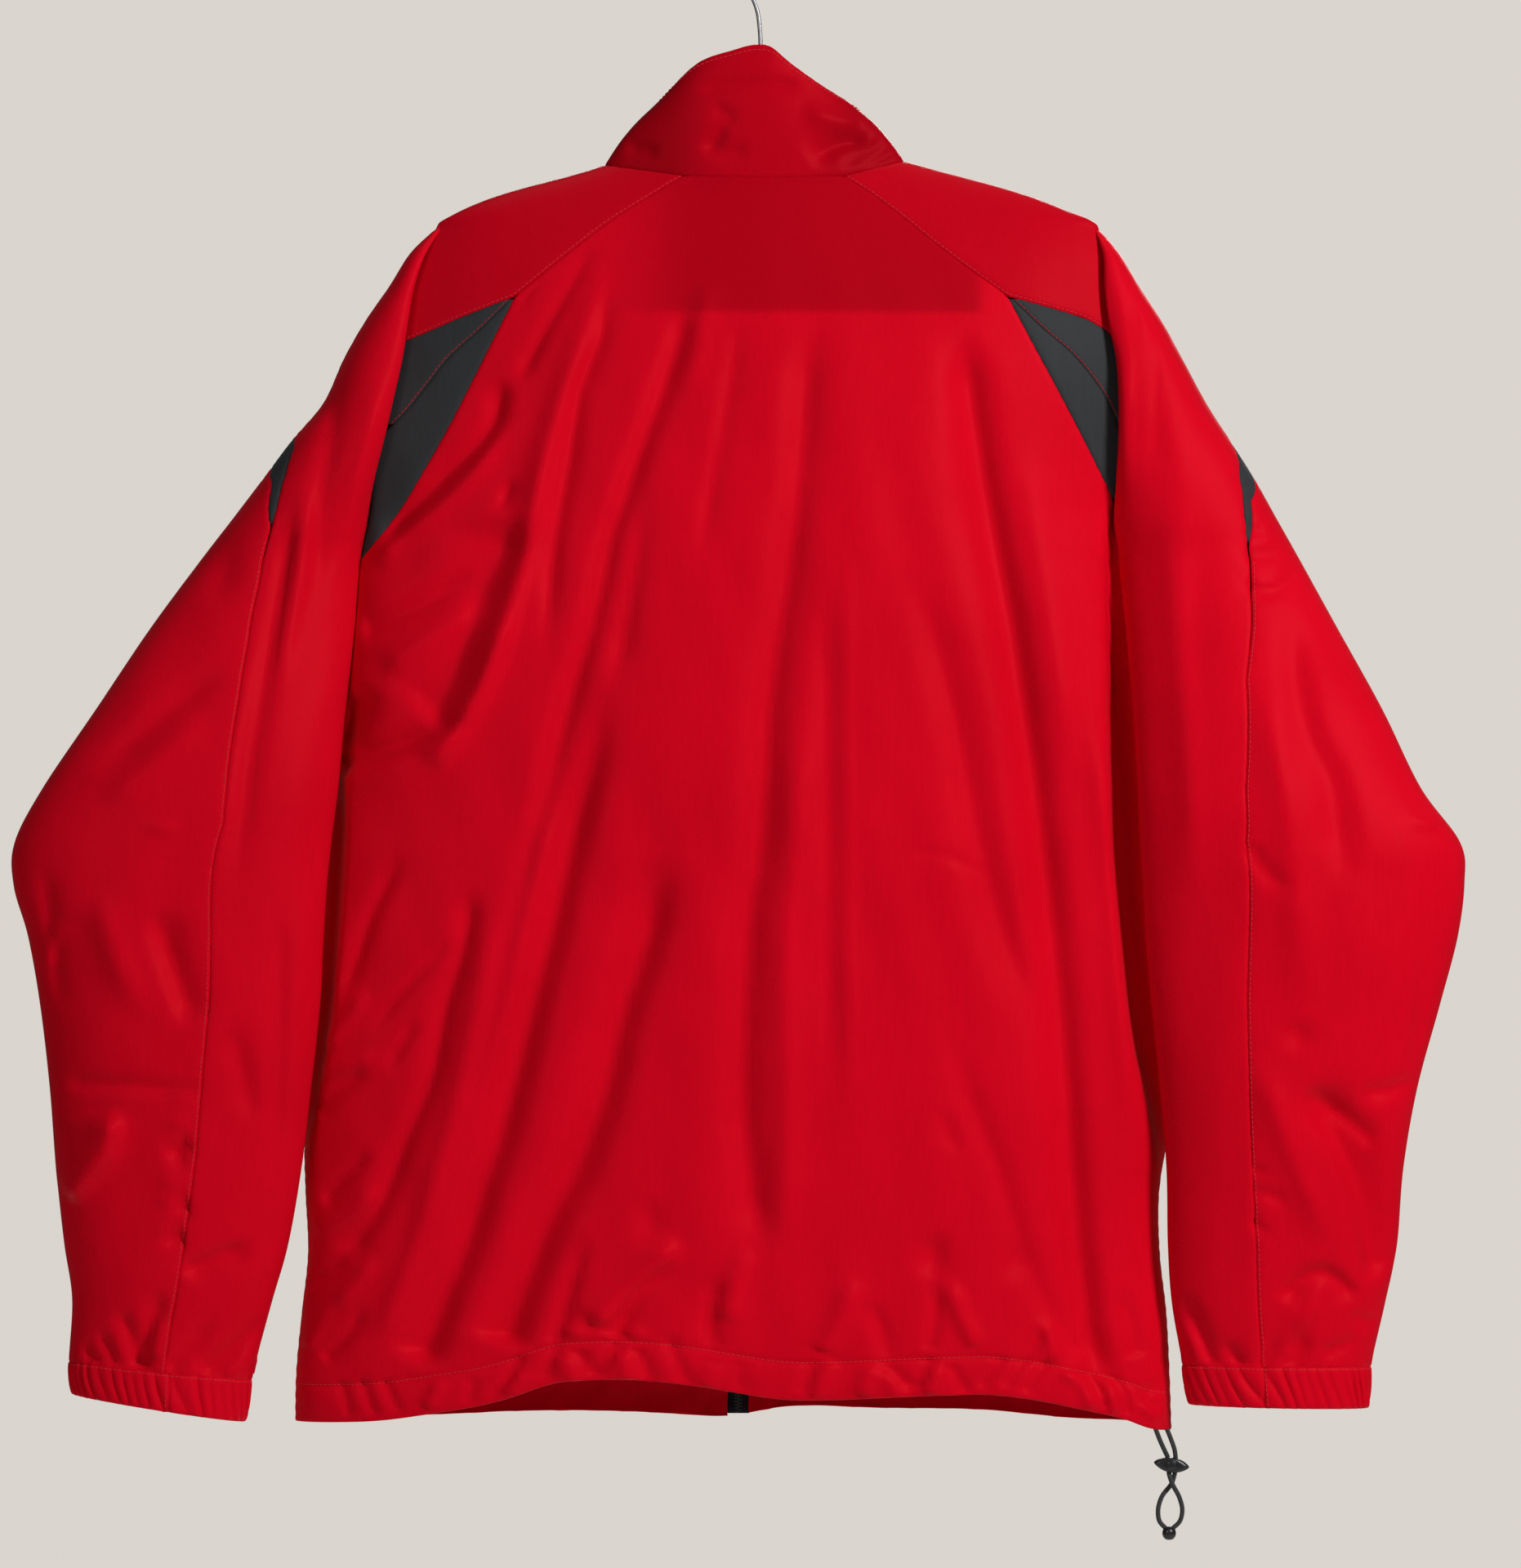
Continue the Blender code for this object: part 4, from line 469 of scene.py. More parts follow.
SLEEVE_FOLDS = {
    "left": folds("""
# Beside the inner fold, from the shoulder's tip down.
-1.8 3 3 .2 .5 1.7: -195 -196, -200 -216, -207 -244;
2.8 7 6 .3 .3 1.7: -216 -262, -226 -300, -236 -345, -244 -400;
-2.6 7 7 .25 .3 1.7: -245 -265, -250 -313, -256 -348, -258 -382, -261 -416;
3.6 7 6 .3 .3 1.7: -261 -327, -268 -382, -275 -416, -281 -458;
-5 7 5 .15 .25 1.8: -270 -345, -275 -375, -280 -410, -287 -444, -292 -475, -297 -506, -300 -533,
  -307 -575;
-2.6 14 12 .5 .5 1.7: -302 -364, -310 -388, -316 -414;
-3.4 10 9 .3 .3 1.7: -308 -446, -343 -471, -364 -489, -390 -511;
2.4 10 10 .3 .3 1.7: -318 -474, -350 -500, -384 -530;
2 4 4 .4 .4 1.7: -360 -535, -340 -534;
# The elbow, and the creases below it.
-5.5 5 14 .25 .25 1.7: -349 -580, -340 -612, -333 -632, -325 -654;
3.2 11 10 .3 .4 1.7: -384 -570, -372 -610, -352 -650;
2.4 4 4 .3 .2 1.7: -408 -590, -413 -602, -419 -620;
-2.6 6 7 .3 .3 1.7: -418 -552, -412 -600, -407 -648;
-2.8 7 6 .3 .3 1.7: -308 -648, -302 -672, -299 -686, -294 -712;
-1.8 6 5 .3 .3 1.7: -279 -568, -280 -660, -282 -752;
2.2 8 8 .3 .3 1.7: -262 -560, -268 -660, -274 -740;
-2.8 3.5 6 .15 .3 1.6: -412 -684, -380 -685, -350 -687, -318 -689;
9 27 5.5 .2 .1 1.5: -379 -700, -378 -714, -381 -726, -393 -741, -407 -757;
-6 10 5 .2 .3 1.7: -341 -800, -335 -793, -324 -788, -312 -783, -296 -781;
-2.8 4 4 .4 .4 1.7: -342 -720, -339 -731, -337 -742;
# Gathers above the cuff.
-3.4 5 4 .3 .05 1.7: -398 -838, -390 -849, -383 -856;
-4.4 5 4.5 .25 .05 1.7: -387 -831, -381 -843, -374 -857;
-5.6 6 5.5 .25 .03 1.7: -375 -818, -369 -830, -362 -857;
-4.8 6 5 .25 .05 1.7: -346 -810, -353 -822, -357 -836, -360 -856;
-3.6 5 5 .5 .05 1.7: -318 -822, -328 -838, -340 -851, -346 -858;
-6.2 8 6 .25 .03 1.7: -287 -826, -297 -836, -310 -848, -326 -860;
3 4 4 .3 .05 1.6: -290 -842, -302 -852, -313 -861;
2.6 4 4 .3 .1 1.7: -348 -826, -356 -848;
-3.4 7 6 .2 .4 1.7: -331 -723, -340 -727, -349 -731;
-2.8 5 5 .2 .4 1.7: -333 -760, -338 -761, -345 -763;
-3 6 5 .2 .4 1.7: -336 -779, -341 -780, -349 -784""") + [
        # Puckers out of the sleeve seam.
        fold(1.4, (3.2, 3.2), [(x - 17, z - 3), (x - 10, z - 1), (x - 3, z)], (0.4, 0.3))
        for x, z in ((-331, -691), (-333, -707), (-334, -718), (-337, -742), (-338, -753),
                     (-340, -771))
    ],
    "right": folds("""
-1.8 2.6 2.6 .2 .4 1.7: 205 -203, 209 -228, 212 -255;
-2 3 2.6 .2 .3 1.8: 218 -206, 224 -245, 225 -290, 225 -330;
2.4 5 5 .3 .3 1.7: 216 -250, 217 -300, 219 -345;
-1.8 4 4 .3 .3 1.7: 233 -232, 235 -290, 236 -340;
2.6 10 10 .3 .3 1.7: 246 -330, 252 -420, 258 -520, 262 -600;
# Puckers out of the sleeve seam.
-2 3 3 .2 .4 1.6: 287 -358, 300 -361;
-2.6 4 3 .15 .4 1.6: 285 -375, 298 -374, 310 -369;
-3 4 3.4 .15 .3 1.6: 285 -391, 298 -396, 311 -390, 317 -380;
-3.6 11 10 .25 .25 1.7: 318 -405, 322 -451, 329 -485, 340 -508, 345 -540, 354 -576;
2.6 10 10 .3 .3 1.7: 300 -440, 310 -500, 318 -560, 322 -640;
-2.6 5 4 .15 .4 1.7: 288 -544, 299 -561, 314 -574;
-2.2 8 8 .4 .4 1.7: 316 -646, 324 -668;
2.4 4 4 .3 .1 1.7: 382 -528, 398 -534;
-2.6 5 7 .3 .3 1.7: 396 -566, 394 -620, 386 -690;
# The slanted fold to the outline, and its wedge.
-8.5 7 22 .2 .1 1.7: 325 -682, 345 -708, 359 -736, 366 -759, 371 -780, 374 -804;
-3.6 5 8 .25 .15 1.7: 317 -684, 336 -696, 353 -709, 367 -722;
-3.4 7 5 .3 .1 1.7: 350 -690, 366 -688, 386 -683;
2.8 9 9 .3 .3 1.7: 290 -664, 304 -692, 314 -719, 328 -753, 344 -786;
-2.2 3.4 3 .15 .4 1.6: 288 -748, 302 -751, 312 -760;
-2.2 3.4 3 .15 .4 1.6: 290 -765, 301 -777;
-1.8 3 3 .15 .4 1.6: 289 -736, 300 -738;
-5.4 9 4.5 .15 .15 1.7: 305 -815, 309 -809, 319 -798, 332 -795, 346 -804, 354 -814;
-2.6 5 4 .3 .1 1.7: 346 -822, 364 -827;
# Gathers above the cuff.
-5.6 8 5.5 .25 .03 1.7: 248 -808, 257 -820, 265 -838, 271 -857;
3.2 5 5 .3 .05 1.7: 249 -826, 258 -840, 266 -856;
-4.4 5 5 .3 .03 1.7: 274 -836, 281 -845, 290 -857;
-3 4 4 .5 .03 1.7: 309 -834, 303 -845, 298 -857;
-3 5 5 .5 .03 1.7: 330 -838, 321 -846, 314 -857;
-3.6 4 4 .25 .2 1.7: 340 -808, 331 -822, 322 -835, 313 -849;
-3.6 4 4 .3 .1 1.7: 355 -838, 344 -844, 332 -849;
2.4 5 5 .4 .4 1.7: 337 -812, 326 -826, 316 -838"""),
}
HIDDEN_SLEEVE_FOLDS = {
    side: [fold(item["rise"] * 0.9, item["widths"],
                [(x + 14 * math.sin(z / 47.0), z - 11.0) for x, z in item["route"]],
                item["fade"], item["crisp"])
           for item in SLEEVE_FOLDS[side]]
    for side in LEFT_RIGHT
}

# Soft dents of the collar: those of its back as the eye sees them, then those of its front and
# sides as the share of its run, its height, how wide and tall, and the rise.
COLLAR_BACK_FOLDS = folds("""
-2.2 4 5 .2 .2 1.7: -38 -103, -21 -100, 0 -98.5, 26 -98.5;
-1.8 5 4 .4 .4 1.7: -27 -110, -20 -116, -10 -121;
-2.2 5 4 .3 .3 1.7: -16 -130, -25 -136, -30 -144;
-2 4 5 .3 .3 1.7: -30 -131, -20 -139, -6 -136;
-2.2 5 5 .2 .4 1.7: -78 -136, -66 -137, -55 -141;
-6.4 6 9 .3 .2 1.7: 26 -146, 36 -137, 48 -131, 64 -130;
-2.2 3.5 4 .3 .3 1.7: 44 -147, 54 -143, 64 -137, 72 -129;
-2.2 3.5 4 .3 .2 1.7: 58 -149, 69 -143, 78 -137;
2 7 6 .3 .3 1.7: 26 -112, 42 -119, 60 -124""")
COLLAR_FOLDS = [
    (0.45, 0.4, 0.04, 0.5, -1.6), (-0.5, 0.5, 0.04, 0.5, -1.6), (0.7, 0.4, 0.06, 0.5, -1.5),
    (-0.72, 0.5, 0.06, 0.4, -1.5)]


# ---------------------------------------------------------------- lines and surfaces


def smooth(at, knots, values):
    """A smooth line through values at knots, which may run up or down."""
    knots, values = np.asarray(knots, float), np.asarray(values, float)
    if knots[0] > knots[-1]:
        knots, values = knots[::-1], values[::-1]
    if len(knots) < 3:
        return np.interp(at, knots, values)
    at = np.clip(np.asarray(at, float), knots[0], knots[-1])
    slope = np.gradient(values, knots)
    i = np.clip(np.searchsorted(knots, at, side="right") - 1, 0, len(knots) - 2)
    span = knots[i + 1] - knots[i]
    t = (at - knots[i]) / span
    return ((2 * t**3 - 3 * t**2 + 1) * values[i] + (t**3 - 2 * t**2 + t) * span * slope[i]
            + (3 * t**2 - 2 * t**3) * values[i + 1] + (t**3 - t**2) * span * slope[i + 1])


def read(lines, name, at, key="z"):
    return smooth(at, lines[key], lines[name])


def falling(z, heights, values):
    """A straight-lined reading of values whose heights run down."""
    return np.interp(-np.asarray(z, float), -heights, values)


def ease(t):
    t = np.clip(t, 0.0, 1.0)
    return t * t * (3 - 2 * t)


def hump(t, power=1.0):
    """A swell from 0 up to 1 and back, as t runs from 0 to 1."""
    return np.sin(math.pi * t) ** power


def outward(side):
    return -1.0 if side == "left" else 1.0


def facing(face):
    return -1.0 if face == "back" else 1.0


def run_along(points):
    """The length run along a line of points, from its start."""
    return np.concatenate([[0], np.cumsum(np.linalg.norm(np.diff(points, axis=0), axis=-1))])


def at_run(at, run, points, between=np.interp):
    """A line's points at lengths along its run."""
    return np.stack([between(at, run, points[:, k]) for k in range(points.shape[1])], axis=-1)


def through(points, count):
    """A smooth route through points, evenly parted into count stretches."""
    points = np.array(points, float)
    run = run_along(points)
    return at_run(np.linspace(0, run[-1], count + 1), run, points, smooth)


def ridge_height(x):
    return read(SHOULDER, "z", x, "x")


def as_seen(x, z):
    """Where the camera sees a point of the back's cloth, which stands nearer than the middle;
    the folds' routes were read there."""
    grow = CAMERA_DISTANCE / (CAMERA_DISTANCE - FOLDS_NEARER)
    return (VIEW_CENTRE[0] + (x - VIEW_CENTRE[0]) * grow,
            VIEW_CENTRE[1] + (z - VIEW_CENTRE[1]) * grow)


def fold_rise(x, z, folds):
    """How far the folds lift the cloth at each point, in millimetres."""
    x, z = np.broadcast_arrays(np.asarray(x, float), np.asarray(z, float))
    total = np.zeros(x.shape)
    for item in folds:
        line = through(item["route"], FOLD_STRETCHES)
        reach = FOLD_REACH * max(item["widths"])
        low, high = line.min(axis=0) - reach, line.max(axis=0) + reach
        near = (x > low[0]) & (x < high[0]) & (z > low[1]) & (z < high[1])
        if not near.any():
            continue
        px, pz = x[near], z[near]
        best = np.full(px.shape, np.inf)
        along, side = np.zeros(px.shape), np.zeros(px.shape)
        for k, ((ax, az), (bx, bz)) in enumerate(zip(line[:-1], line[1:])):
            run_x, run_z = bx - ax, bz - az
            t = np.clip(((px - ax) * run_x + (pz - az) * run_z) / (run_x**2 + run_z**2), 0, 1)
            apart = np.hypot(px - ax - t * run_x, pz - az - t * run_z)
            closer = apart < best
            best = np.where(closer, apart, best)
            along = np.where(closer, (k + t) / FOLD_STRETCHES, along)
            side = np.where(closer, run_x * (pz - az) - run_z * (px - ax), side)
        left_width, right_width = np.array(item["widths"]) * FOLD_WIDTH
        crisp, (fade_in, fade_out) = item["crisp"], item["fade"]
        # A flank is steepest at this share of its width.
        steepest = (1 - 1 / crisp) ** (1 / crisp)
        middle = best * np.sign(side) + steepest * right_width
        width = np.where(middle < 0, left_width, right_width)
        most = FOLD_STEEPEST * (left_width + right_width) / 2
        rise = np.clip(item["rise"] * FOLD_STRENGTH, -most, most)
        total[near] += (rise * ease(along / fade_in) * ease((1 - along) / fade_out)
                        * np.exp(-((np.abs(middle) / width) ** crisp)))
    return total


def ripple(x, z, seed):
    """The slight unevenness of cloth: a few long, low waves."""
    total = 0.0
    for k in range(7):
        turn = seed * 1.3 + k * 2.4
        length = 34 + 38 * ((k * 0.618) % 1.0)
        total = total + RIPPLE_RISE * np.sin(
            2 * math.pi * (x * math.cos(turn * 0.6) * 1.3 + z * math.sin(turn * 0.6) * 0.5)
            / length + turn)
    return total


def torso_side(side, z):
    """The torso's side edge: under the sleeve's fold, then the side seam."""
    sleeve, arm, tip = SLEEVES[side], slice(1, ARMPIT_ROW), YOKE_TIP[side]
    edge = sleeve["inner_x"][arm] + outward(side) * sleeve["under"][arm]
    heights = np.concatenate([[ridge_height(tip)], sleeve["inner_z"][arm], SIDES["z"]])
    return smooth(z, heights, np.concatenate([[tip], edge, SIDES[side]]))


def shown_side(side, z):
    """The side edge as the cloth shows it, filled out behind the sleeve."""
    return torso_side(side, z) + outward(side) * falling(z, SIDE_FILL["z"], SIDE_FILL["more"])


def armhole_width(z):
    sleeve, top = SLEEVES["left"], slice(0, ARMPIT_ROW + 1)
    width = smooth(z, sleeve["inner_z"][top], sleeve["armhole"][top])
    return np.where(np.asarray(z) < ARMPIT, 0.0, np.maximum(width, 0.0))


def hem_height(x, face):
    return read(BACK_HEM if face == "back" else FRONT_HEM, "z", x, "x")


def front_tucks(x, above):
    """Slanted tucks that the cord draws into the front's casing, and where they run on above it.
    above is the height over the hem's edge."""
    total = np.zeros(np.broadcast(x, above).shape)
    inside = hump(np.clip(above / CASING, 0, 1), 0.7)
    beyond = 0.5 * np.exp(-np.maximum(above - CASING, 0) / 9.0) * (above > CASING)
    for k in range(34):
        centre = -268 + 15.6 * k + 5.0 * math.sin(2.3 * k + 7.0)
        slant = 11.0 * math.sin(1.7 * k + 8.0)
        strong = (1.0 + 0.8 * math.exp(-((centre + 100) / 45) ** 2)
                  + 0.6 * math.exp(-((centre - 85) / 80) ** 2))
        rise = -0.85 * strong * (1 + 0.5 * math.sin(3.1 * k + 7.0))
        width = 3.2 + 1.2 * math.sin(4.7 * k)
        lean = centre + slant * (above - CASING / 2) / CASING
        total = total + rise * np.exp(-((x - lean) / width) ** 2) * (inside + beyond)
    return total


def crease_drop(side, x, z):
    """How far the back has dropped away, beyond the crease beside a sleeve."""
    crease = SIDE_CREASE[side]
    beyond = outward(side) * (x - read(crease, "x", z))
    return falling(z, crease["z"], crease["drop"]) * ease(beyond / CREASE_TURN)


def torso_depth(x, z, face):
    """How far the cloth stands from the middle, at a point seen from the back or the front."""
    x, z = np.broadcast_arrays(np.asarray(x, float), np.asarray(z, float))
    left, right = shown_side("left", z), shown_side("right", z)
    share = np.clip(np.abs((x - (left + right) / 2) / ((right - left) / 2)), 0, 1)
    armhole, above = armhole_width(z), z - hem_height(x, face)
    fade = ease((1 - share) / SIDE_FADE)
    if face == "back":
        seen = as_seen(x, z)
        folds, tucks, seed = fold_rise(*seen, BACK_FOLDS), fold_rise(*seen, HEM_TUCKS), 1.0
    else:
        folds, tucks, seed = fold_rise(x, z, FRONT_FOLDS), front_tucks(x, above), 4.0
    # The casing holds the folds flatter.
    folds = folds * (0.35 + 0.65 * ease((above - 12) / 26.0))
    folds = (folds + ripple(x, z, seed)) * fade
    casing = (CASING_PUFF * ease((CASING - above) / 3)
              * hump(np.clip((CASING - above) / CASING, 0, 1)) * ease((1 - share) / 0.05))
    casing = casing - CASING_GROOVE * np.exp(-((above - CASING) / 1.4) ** 2) * fade + tucks * fade
    full = (1 - share**2.5) ** (1 / read(TORSO, "roundness", z))
    section = armhole + (read(TORSO, "depth", z) - armhole) * full + casing + folds
    if face == "back":
        section = section - crease_drop("left", x, z) - crease_drop("right", x, z)
    section = np.maximum(section, armhole * 0.5)
    drop = np.maximum(ridge_height(x) - z, 1e-4)
    ridge = np.sqrt((RIDGE_LEAN * drop) ** 2 + 2 * RIDGE_ROUNDING * drop)
    return (np.maximum(section, 1e-3) ** -4 + ridge**-4) ** -0.25


def torso_point(x, z, face):
    return np.stack([x, facing(face) * torso_depth(x, z, face), z], axis=-1)


def follow_hem(x, z, face):
    """The rows' heights, bent towards the hem's own line near the bottom."""
    share = np.clip((HEM_START - z) / (HEM_START - HEM_LEVEL), 0, 1)
    return z + share**1.5 * (hem_height(x, face) - HEM_LEVEL)


def insert_top(side, z):
    """The upper border of an insert: the yoke's seam, then the armhole."""
    seam = INSERT_TOP[side]
    return np.where(z > YOKE_END, falling(z, seam["z"], seam["x"]), shown_side(side, z))


def panel_edge(side, z):
    return read(PANEL_EDGE[side], "x", z)


def outer_seam(side, raglan, z):
    """A panel's outer border: raglan seam, insert seam, side seam."""
    lower = np.where(z > ARMPIT, panel_edge(side, z), shown_side(side, z))
    return np.where(z > YOKE_TURN, read(raglan, "x", z), lower)


def sleeve_value(side, name, row):
    values = SLEEVES[side][name]
    value = smooth(row, np.arange(len(values)), values)
    if name in ("fold", "armhole", "lap"):
        value = np.where(np.asarray(row) >= ARMPIT_ROW, 0.0, np.maximum(value, 0.0))
    return value


def sleeve_middles(side):
    return (SLEEVES[side]["inner_z"] + SLEEVES[side]["outer_z"]) / 2


def sleeve_row(side, z):
    """The row number whose middle is at a height."""
    middles = sleeve_middles(side)
    return falling(z, middles, np.arange(len(middles)))


def sleeve_point(side, row, angle):
    """A point of the sleeve; the angle runs from the inner fold over the back to the front."""
    row, angle = np.broadcast_arrays(np.asarray(row, float), np.asarray(angle, float))
    value = {name: sleeve_value(side, name, row) for name in SLEEVES[side]}

    def section(turn):
        x, z = ((value["outer_" + k] + value["inner_" + k]) / 2
                - (value["outer_" + k] - value["inner_" + k]) / 2 * np.cos(turn) for k in "xz")
        bulge = (value["depth"] - value["fold"] / 2) * np.sin(turn)
        y = value["middle"] - value["fold"] * (1 - turn / math.pi) - bulge
        return np.stack([x, y, z], axis=-1)

    point = section(angle)
    open_part = (row < ARMPIT_ROW)[..., None]
    seam_z = value["inner_z"]
    seam_x = torso_side(side, seam_z) + outward(side) * value["step"]
    for face, start in (("back", -value["lap"]), ("front", 2 * math.pi + value["lap"])):
        seam = np.stack([seam_x, value["armhole"] * facing(face), seam_z], axis=-1)
        near = 1 - ease(np.abs(angle - start) / SEAM_PULL)
        point = point + np.where(open_part, (seam - section(start)) * near[..., None], 0.0)
    back, front = (np.clip(sine, 0, 1) ** 0.6 * ease((row - 1) / 2)
                   for sine in (np.sin(angle), -np.sin(angle)))
    ends = 1 - ease((row - CUFF_ROW + CUFF_FADE) / CUFF_FADE)
    x, z = point[..., 0], point[..., 2]
    uneven = ripple(x, z, 7.0 + outward(side))
    shown = fold_rise(*as_seen(x, z), SLEEVE_FOLDS[side]) + uneven
    hidden = fold_rise(x, z, HIDDEN_SLEEVE_FOLDS[side]) + uneven
    point[..., 1] -= (shown * back - hidden * front) * ends
    return point


def angle_at(side, x, z):
    """The angle, on the sleeve's back, of a point of its seam."""
    row = sleeve_row(side, z)
    inner, outer = (sleeve_value(side, name, row) for name in ("inner_x", "outer_x"))
    return np.arccos(np.clip(((inner + outer) / 2 - x) / ((outer - inner) / 2), -1, 1))


def seam_angle(side, row, which):
    """Where the inner piece ends (upper) and the outer piece starts (lower), at a row."""
    wrap, back = CRESCENT[side][which], CRESCENT[side][which + "_back"]
    middles, seam = sleeve_middles(side), SLEEVE_SEAM[side]
    z = np.interp(row, np.arange(len(middles)), middles)
    heights = np.concatenate([wrap["z"], back["z"], seam["z"][1:]])
    angles = np.concatenate([wrap["turn"] * math.pi, angle_at(side, back["x"], back["z"]),
                             angle_at(side, seam["x"][1:], seam["z"][1:])])
    return np.minimum(falling(z, heights, angles), 2 * math.pi + sleeve_value(side, "lap", row))


# ---------------------------------------------------------------- finishes


class Line:
    """A socket that can be used in sums: each operator adds its Math node."""

    def __init__(self, finish, socket):
        self.finish, self.socket = finish, socket

    def sum(self, operation, first, second):
        return self.finish.node("ShaderNodeMath", {"operation": operation},
                                {0: first, 1: second})

    def __add__(self, other):
        return self.sum("ADD", self, other)

    def __sub__(self, other):
        return self.sum("SUBTRACT", self, other)

    def __rsub__(self, other):
        return self.sum("SUBTRACT", other, self)

    def __mul__(self, other):
        return self.sum("MULTIPLY", self, other)

    __radd__ = __add__
    __rmul__ = __mul__


def shade(color, factor=1.0):
    return (*[c * factor for c in color], 1)


class Finish:
    """A material whose nodes are made by expressions and one method."""

    def __init__(self, name, roughness, fixed=None):
        self.material = bpy.data.materials.new(name)
        self.material.use_nodes = True
        self.tree = self.material.node_tree
        self.shader = self.tree.nodes["Principled BSDF"]
        for socket, value in {"Roughness": roughness, **(fixed or {})}.items():
            self.shader.inputs[socket].default_value = value
        self.place = self.node("ShaderNodeTexCoord", out="Object")

    def node(self, kind, settings=None, sockets=None, out=0):
        node = self.tree.nodes.new(kind)
        for key, value in (settings or {}).items():
            setattr(node, key, value)
        for key, value in (sockets or {}).items():
            if isinstance(value, Line):
                self.tree.links.new(value.socket, node.inputs[key])
            else:
                node.inputs[key].default_value = value
        return Line(self, node.outputs[out])

    def stretched(self, *scale):
        return self.node("ShaderNodeVectorMath", {"operation": "MULTIPLY"},
                         {0: self.place, 1: scale})

    def noise(self, scale, detail, place=None):
        return self.node("ShaderNodeTexNoise", {},
                         {"Vector": place or self.place, "Scale": scale, "Detail": detail})

    def diagonal(self, scale, place, **sockets):
        return self.node("ShaderNodeTexWave", {"bands_direction": "DIAGONAL"},
                         {"Vector": place, "Scale": scale, **sockets})

    def mixed(self, share, first, second):
        """Two colours mixed by a share."""
        return self.node("ShaderNodeMix", {"data_type": "RGBA"},
                         {0: share, 6: first, 7: second}, out=2)

    def feed(self, socket, value):
        self.tree.links.new(value.socket, self.shader.inputs[socket])

    def tint(self, share, first, second):
        self.feed("Base Color", self.mixed(share, first, second))

    def bump(self, height, distance, strength=1.0):
        self.feed("Normal", self.node("ShaderNodeBump", {}, {
            "Height": height, "Distance": distance, "Strength": strength}))


def woven(name, color, dark, roughness, sheen, gloss):
    """Smooth woven cloth: fine diagonal threads, faint streaks along the warp, and a soft
    sheen. dark is the darker colour that the deeper tone is mixed from."""
    finish = Finish(name, roughness, {
        "Sheen Weight": sheen, "Sheen Roughness": 0.4, "Specular IOR Level": gloss,
        "Specular Tint": shade([min(1, c * 1.4 + 0.08) for c in color])})
    broad, grain = finish.noise(9.0, 3.0), finish.noise(1500.0, 3.0)
    streaks = finish.noise(60.0, 3.0, finish.stretched(9.0, 9.0, 1.0))
    twill = finish.diagonal(640.0, finish.place, **{"Distortion": 1.2, "Detail Scale": 3.0})
    tone = finish.node("ShaderNodeMapRange", {"interpolation_type": "SMOOTHSTEP"}, {
        "Value": broad * 0.55 + streaks * 0.3 + grain * 0.25, "From Min": 0.2, "From Max": 0.95})
    # The attribute read here darkens the colour: painted shade on the collar and the yokes, and
    # the deeper tone of the facing on the back's upper part.
    facing_and_painted_shade = finish.node("ShaderNodeAttribute", {"attribute_name": "facing_and_painted_shade"}, out="Fac")
    finish.tint(facing_and_painted_shade, finish.mixed(tone, shade(dark), shade(color)), shade(dark, 0.62))
    finish.feed("Roughness", roughness - 0.05 + streaks * 0.1)
    finish.bump(twill * 0.04 + grain * 0.06 + streaks * 0.05 + broad * 0.3
                + finish.noise(52.0, 3.0) * 0.5, 0.0012, 0.6)
    return finish.material


def thread(name, color):
    finish = Finish(name, 0.5, {"Specular IOR Level": 0.15})
    twist = finish.noise(1500.0, 1.0, finish.stretched(1.0, 1.0, 2.5))
    finish.tint(twist, shade(color, 0.7), shade(color))
    finish.bump(twist, 0.0001)
    return finish.material


def braid(name, color):
    """Round elastic cord with a fine crossed braid."""
    finish = Finish(name, 0.6, {"Sheen Weight": 0.25})
    cross = (finish.diagonal(1300.0, finish.stretched(1.0, 1.0, 1.0))
             * finish.diagonal(1300.0, finish.stretched(1.0, 1.0, -1.0)))
    finish.tint(cross, shade(color, 0.5), shade(color))
    finish.bump(cross, 0.00008)
    return finish.material


def moulded(name, color, roughness):
    """Moulded plastic with a faint skin and handling marks."""
    finish = Finish(name, roughness, {"Specular IOR Level": 0.5})
    marks = finish.noise(90.0, 4.0)
    finish.tint(marks, shade(color), shade(color, 1.5))
    finish.feed("Roughness", roughness - 0.08 + marks * 0.2)
    finish.bump(finish.noise(700.0, 3.0), 0.00005)
    return finish.material


def metal(name, color, roughness, metallic):
    """Drawn or cast metal with fine brushing."""
    finish = Finish(name, roughness, {"Metallic": metallic})
    brush = finish.noise(160.0, 3.0, finish.stretched(6.0, 6.0, 1.0))
    finish.tint(brush, shade(color, 0.8), shade(color))
    finish.feed("Roughness", roughness - 0.06 + brush * 0.14)
    finish.bump(brush, 0.00002)
    return finish.material


FINISHES = {name: make(name, *values) for name, make, *values in (
    ("red cloth", woven, (0.70, 0.0018, 0.0150), (0.56, 0.0012, 0.0105), 0.42, 0.0, 0.12),
    ("black cloth", woven, (0.042, 0.044, 0.047), (0.028, 0.030, 0.032), 0.46, 0.05, 0.16),
    ("zip tape", woven, (0.016, 0.016, 0.017), (0.009, 0.009, 0.01), 0.6, 0.1, 0.2),
    ("red thread", thread, (0.76, 0.030, 0.045)),
    ("bright red thread", thread, (0.55, 0.012, 0.024)),
    ("braided cord", braid, (0.022, 0.024, 0.026)),
    ("black plastic", moulded, (0.010, 0.010, 0.011), 0.3),
    ("zip teeth", moulded, (0.016, 0.016, 0.018), 0.35),
    ("black zip metal", metal, (0.055, 0.055, 0.06), 0.36, 0.85),
    ("hanger bar", moulded, (0.50, 0.47, 0.43), 0.35),
    ("hook wire", metal, (0.34, 0.34, 0.35), 0.42, 0.75))}


# ---------------------------------------------------------------- meshes


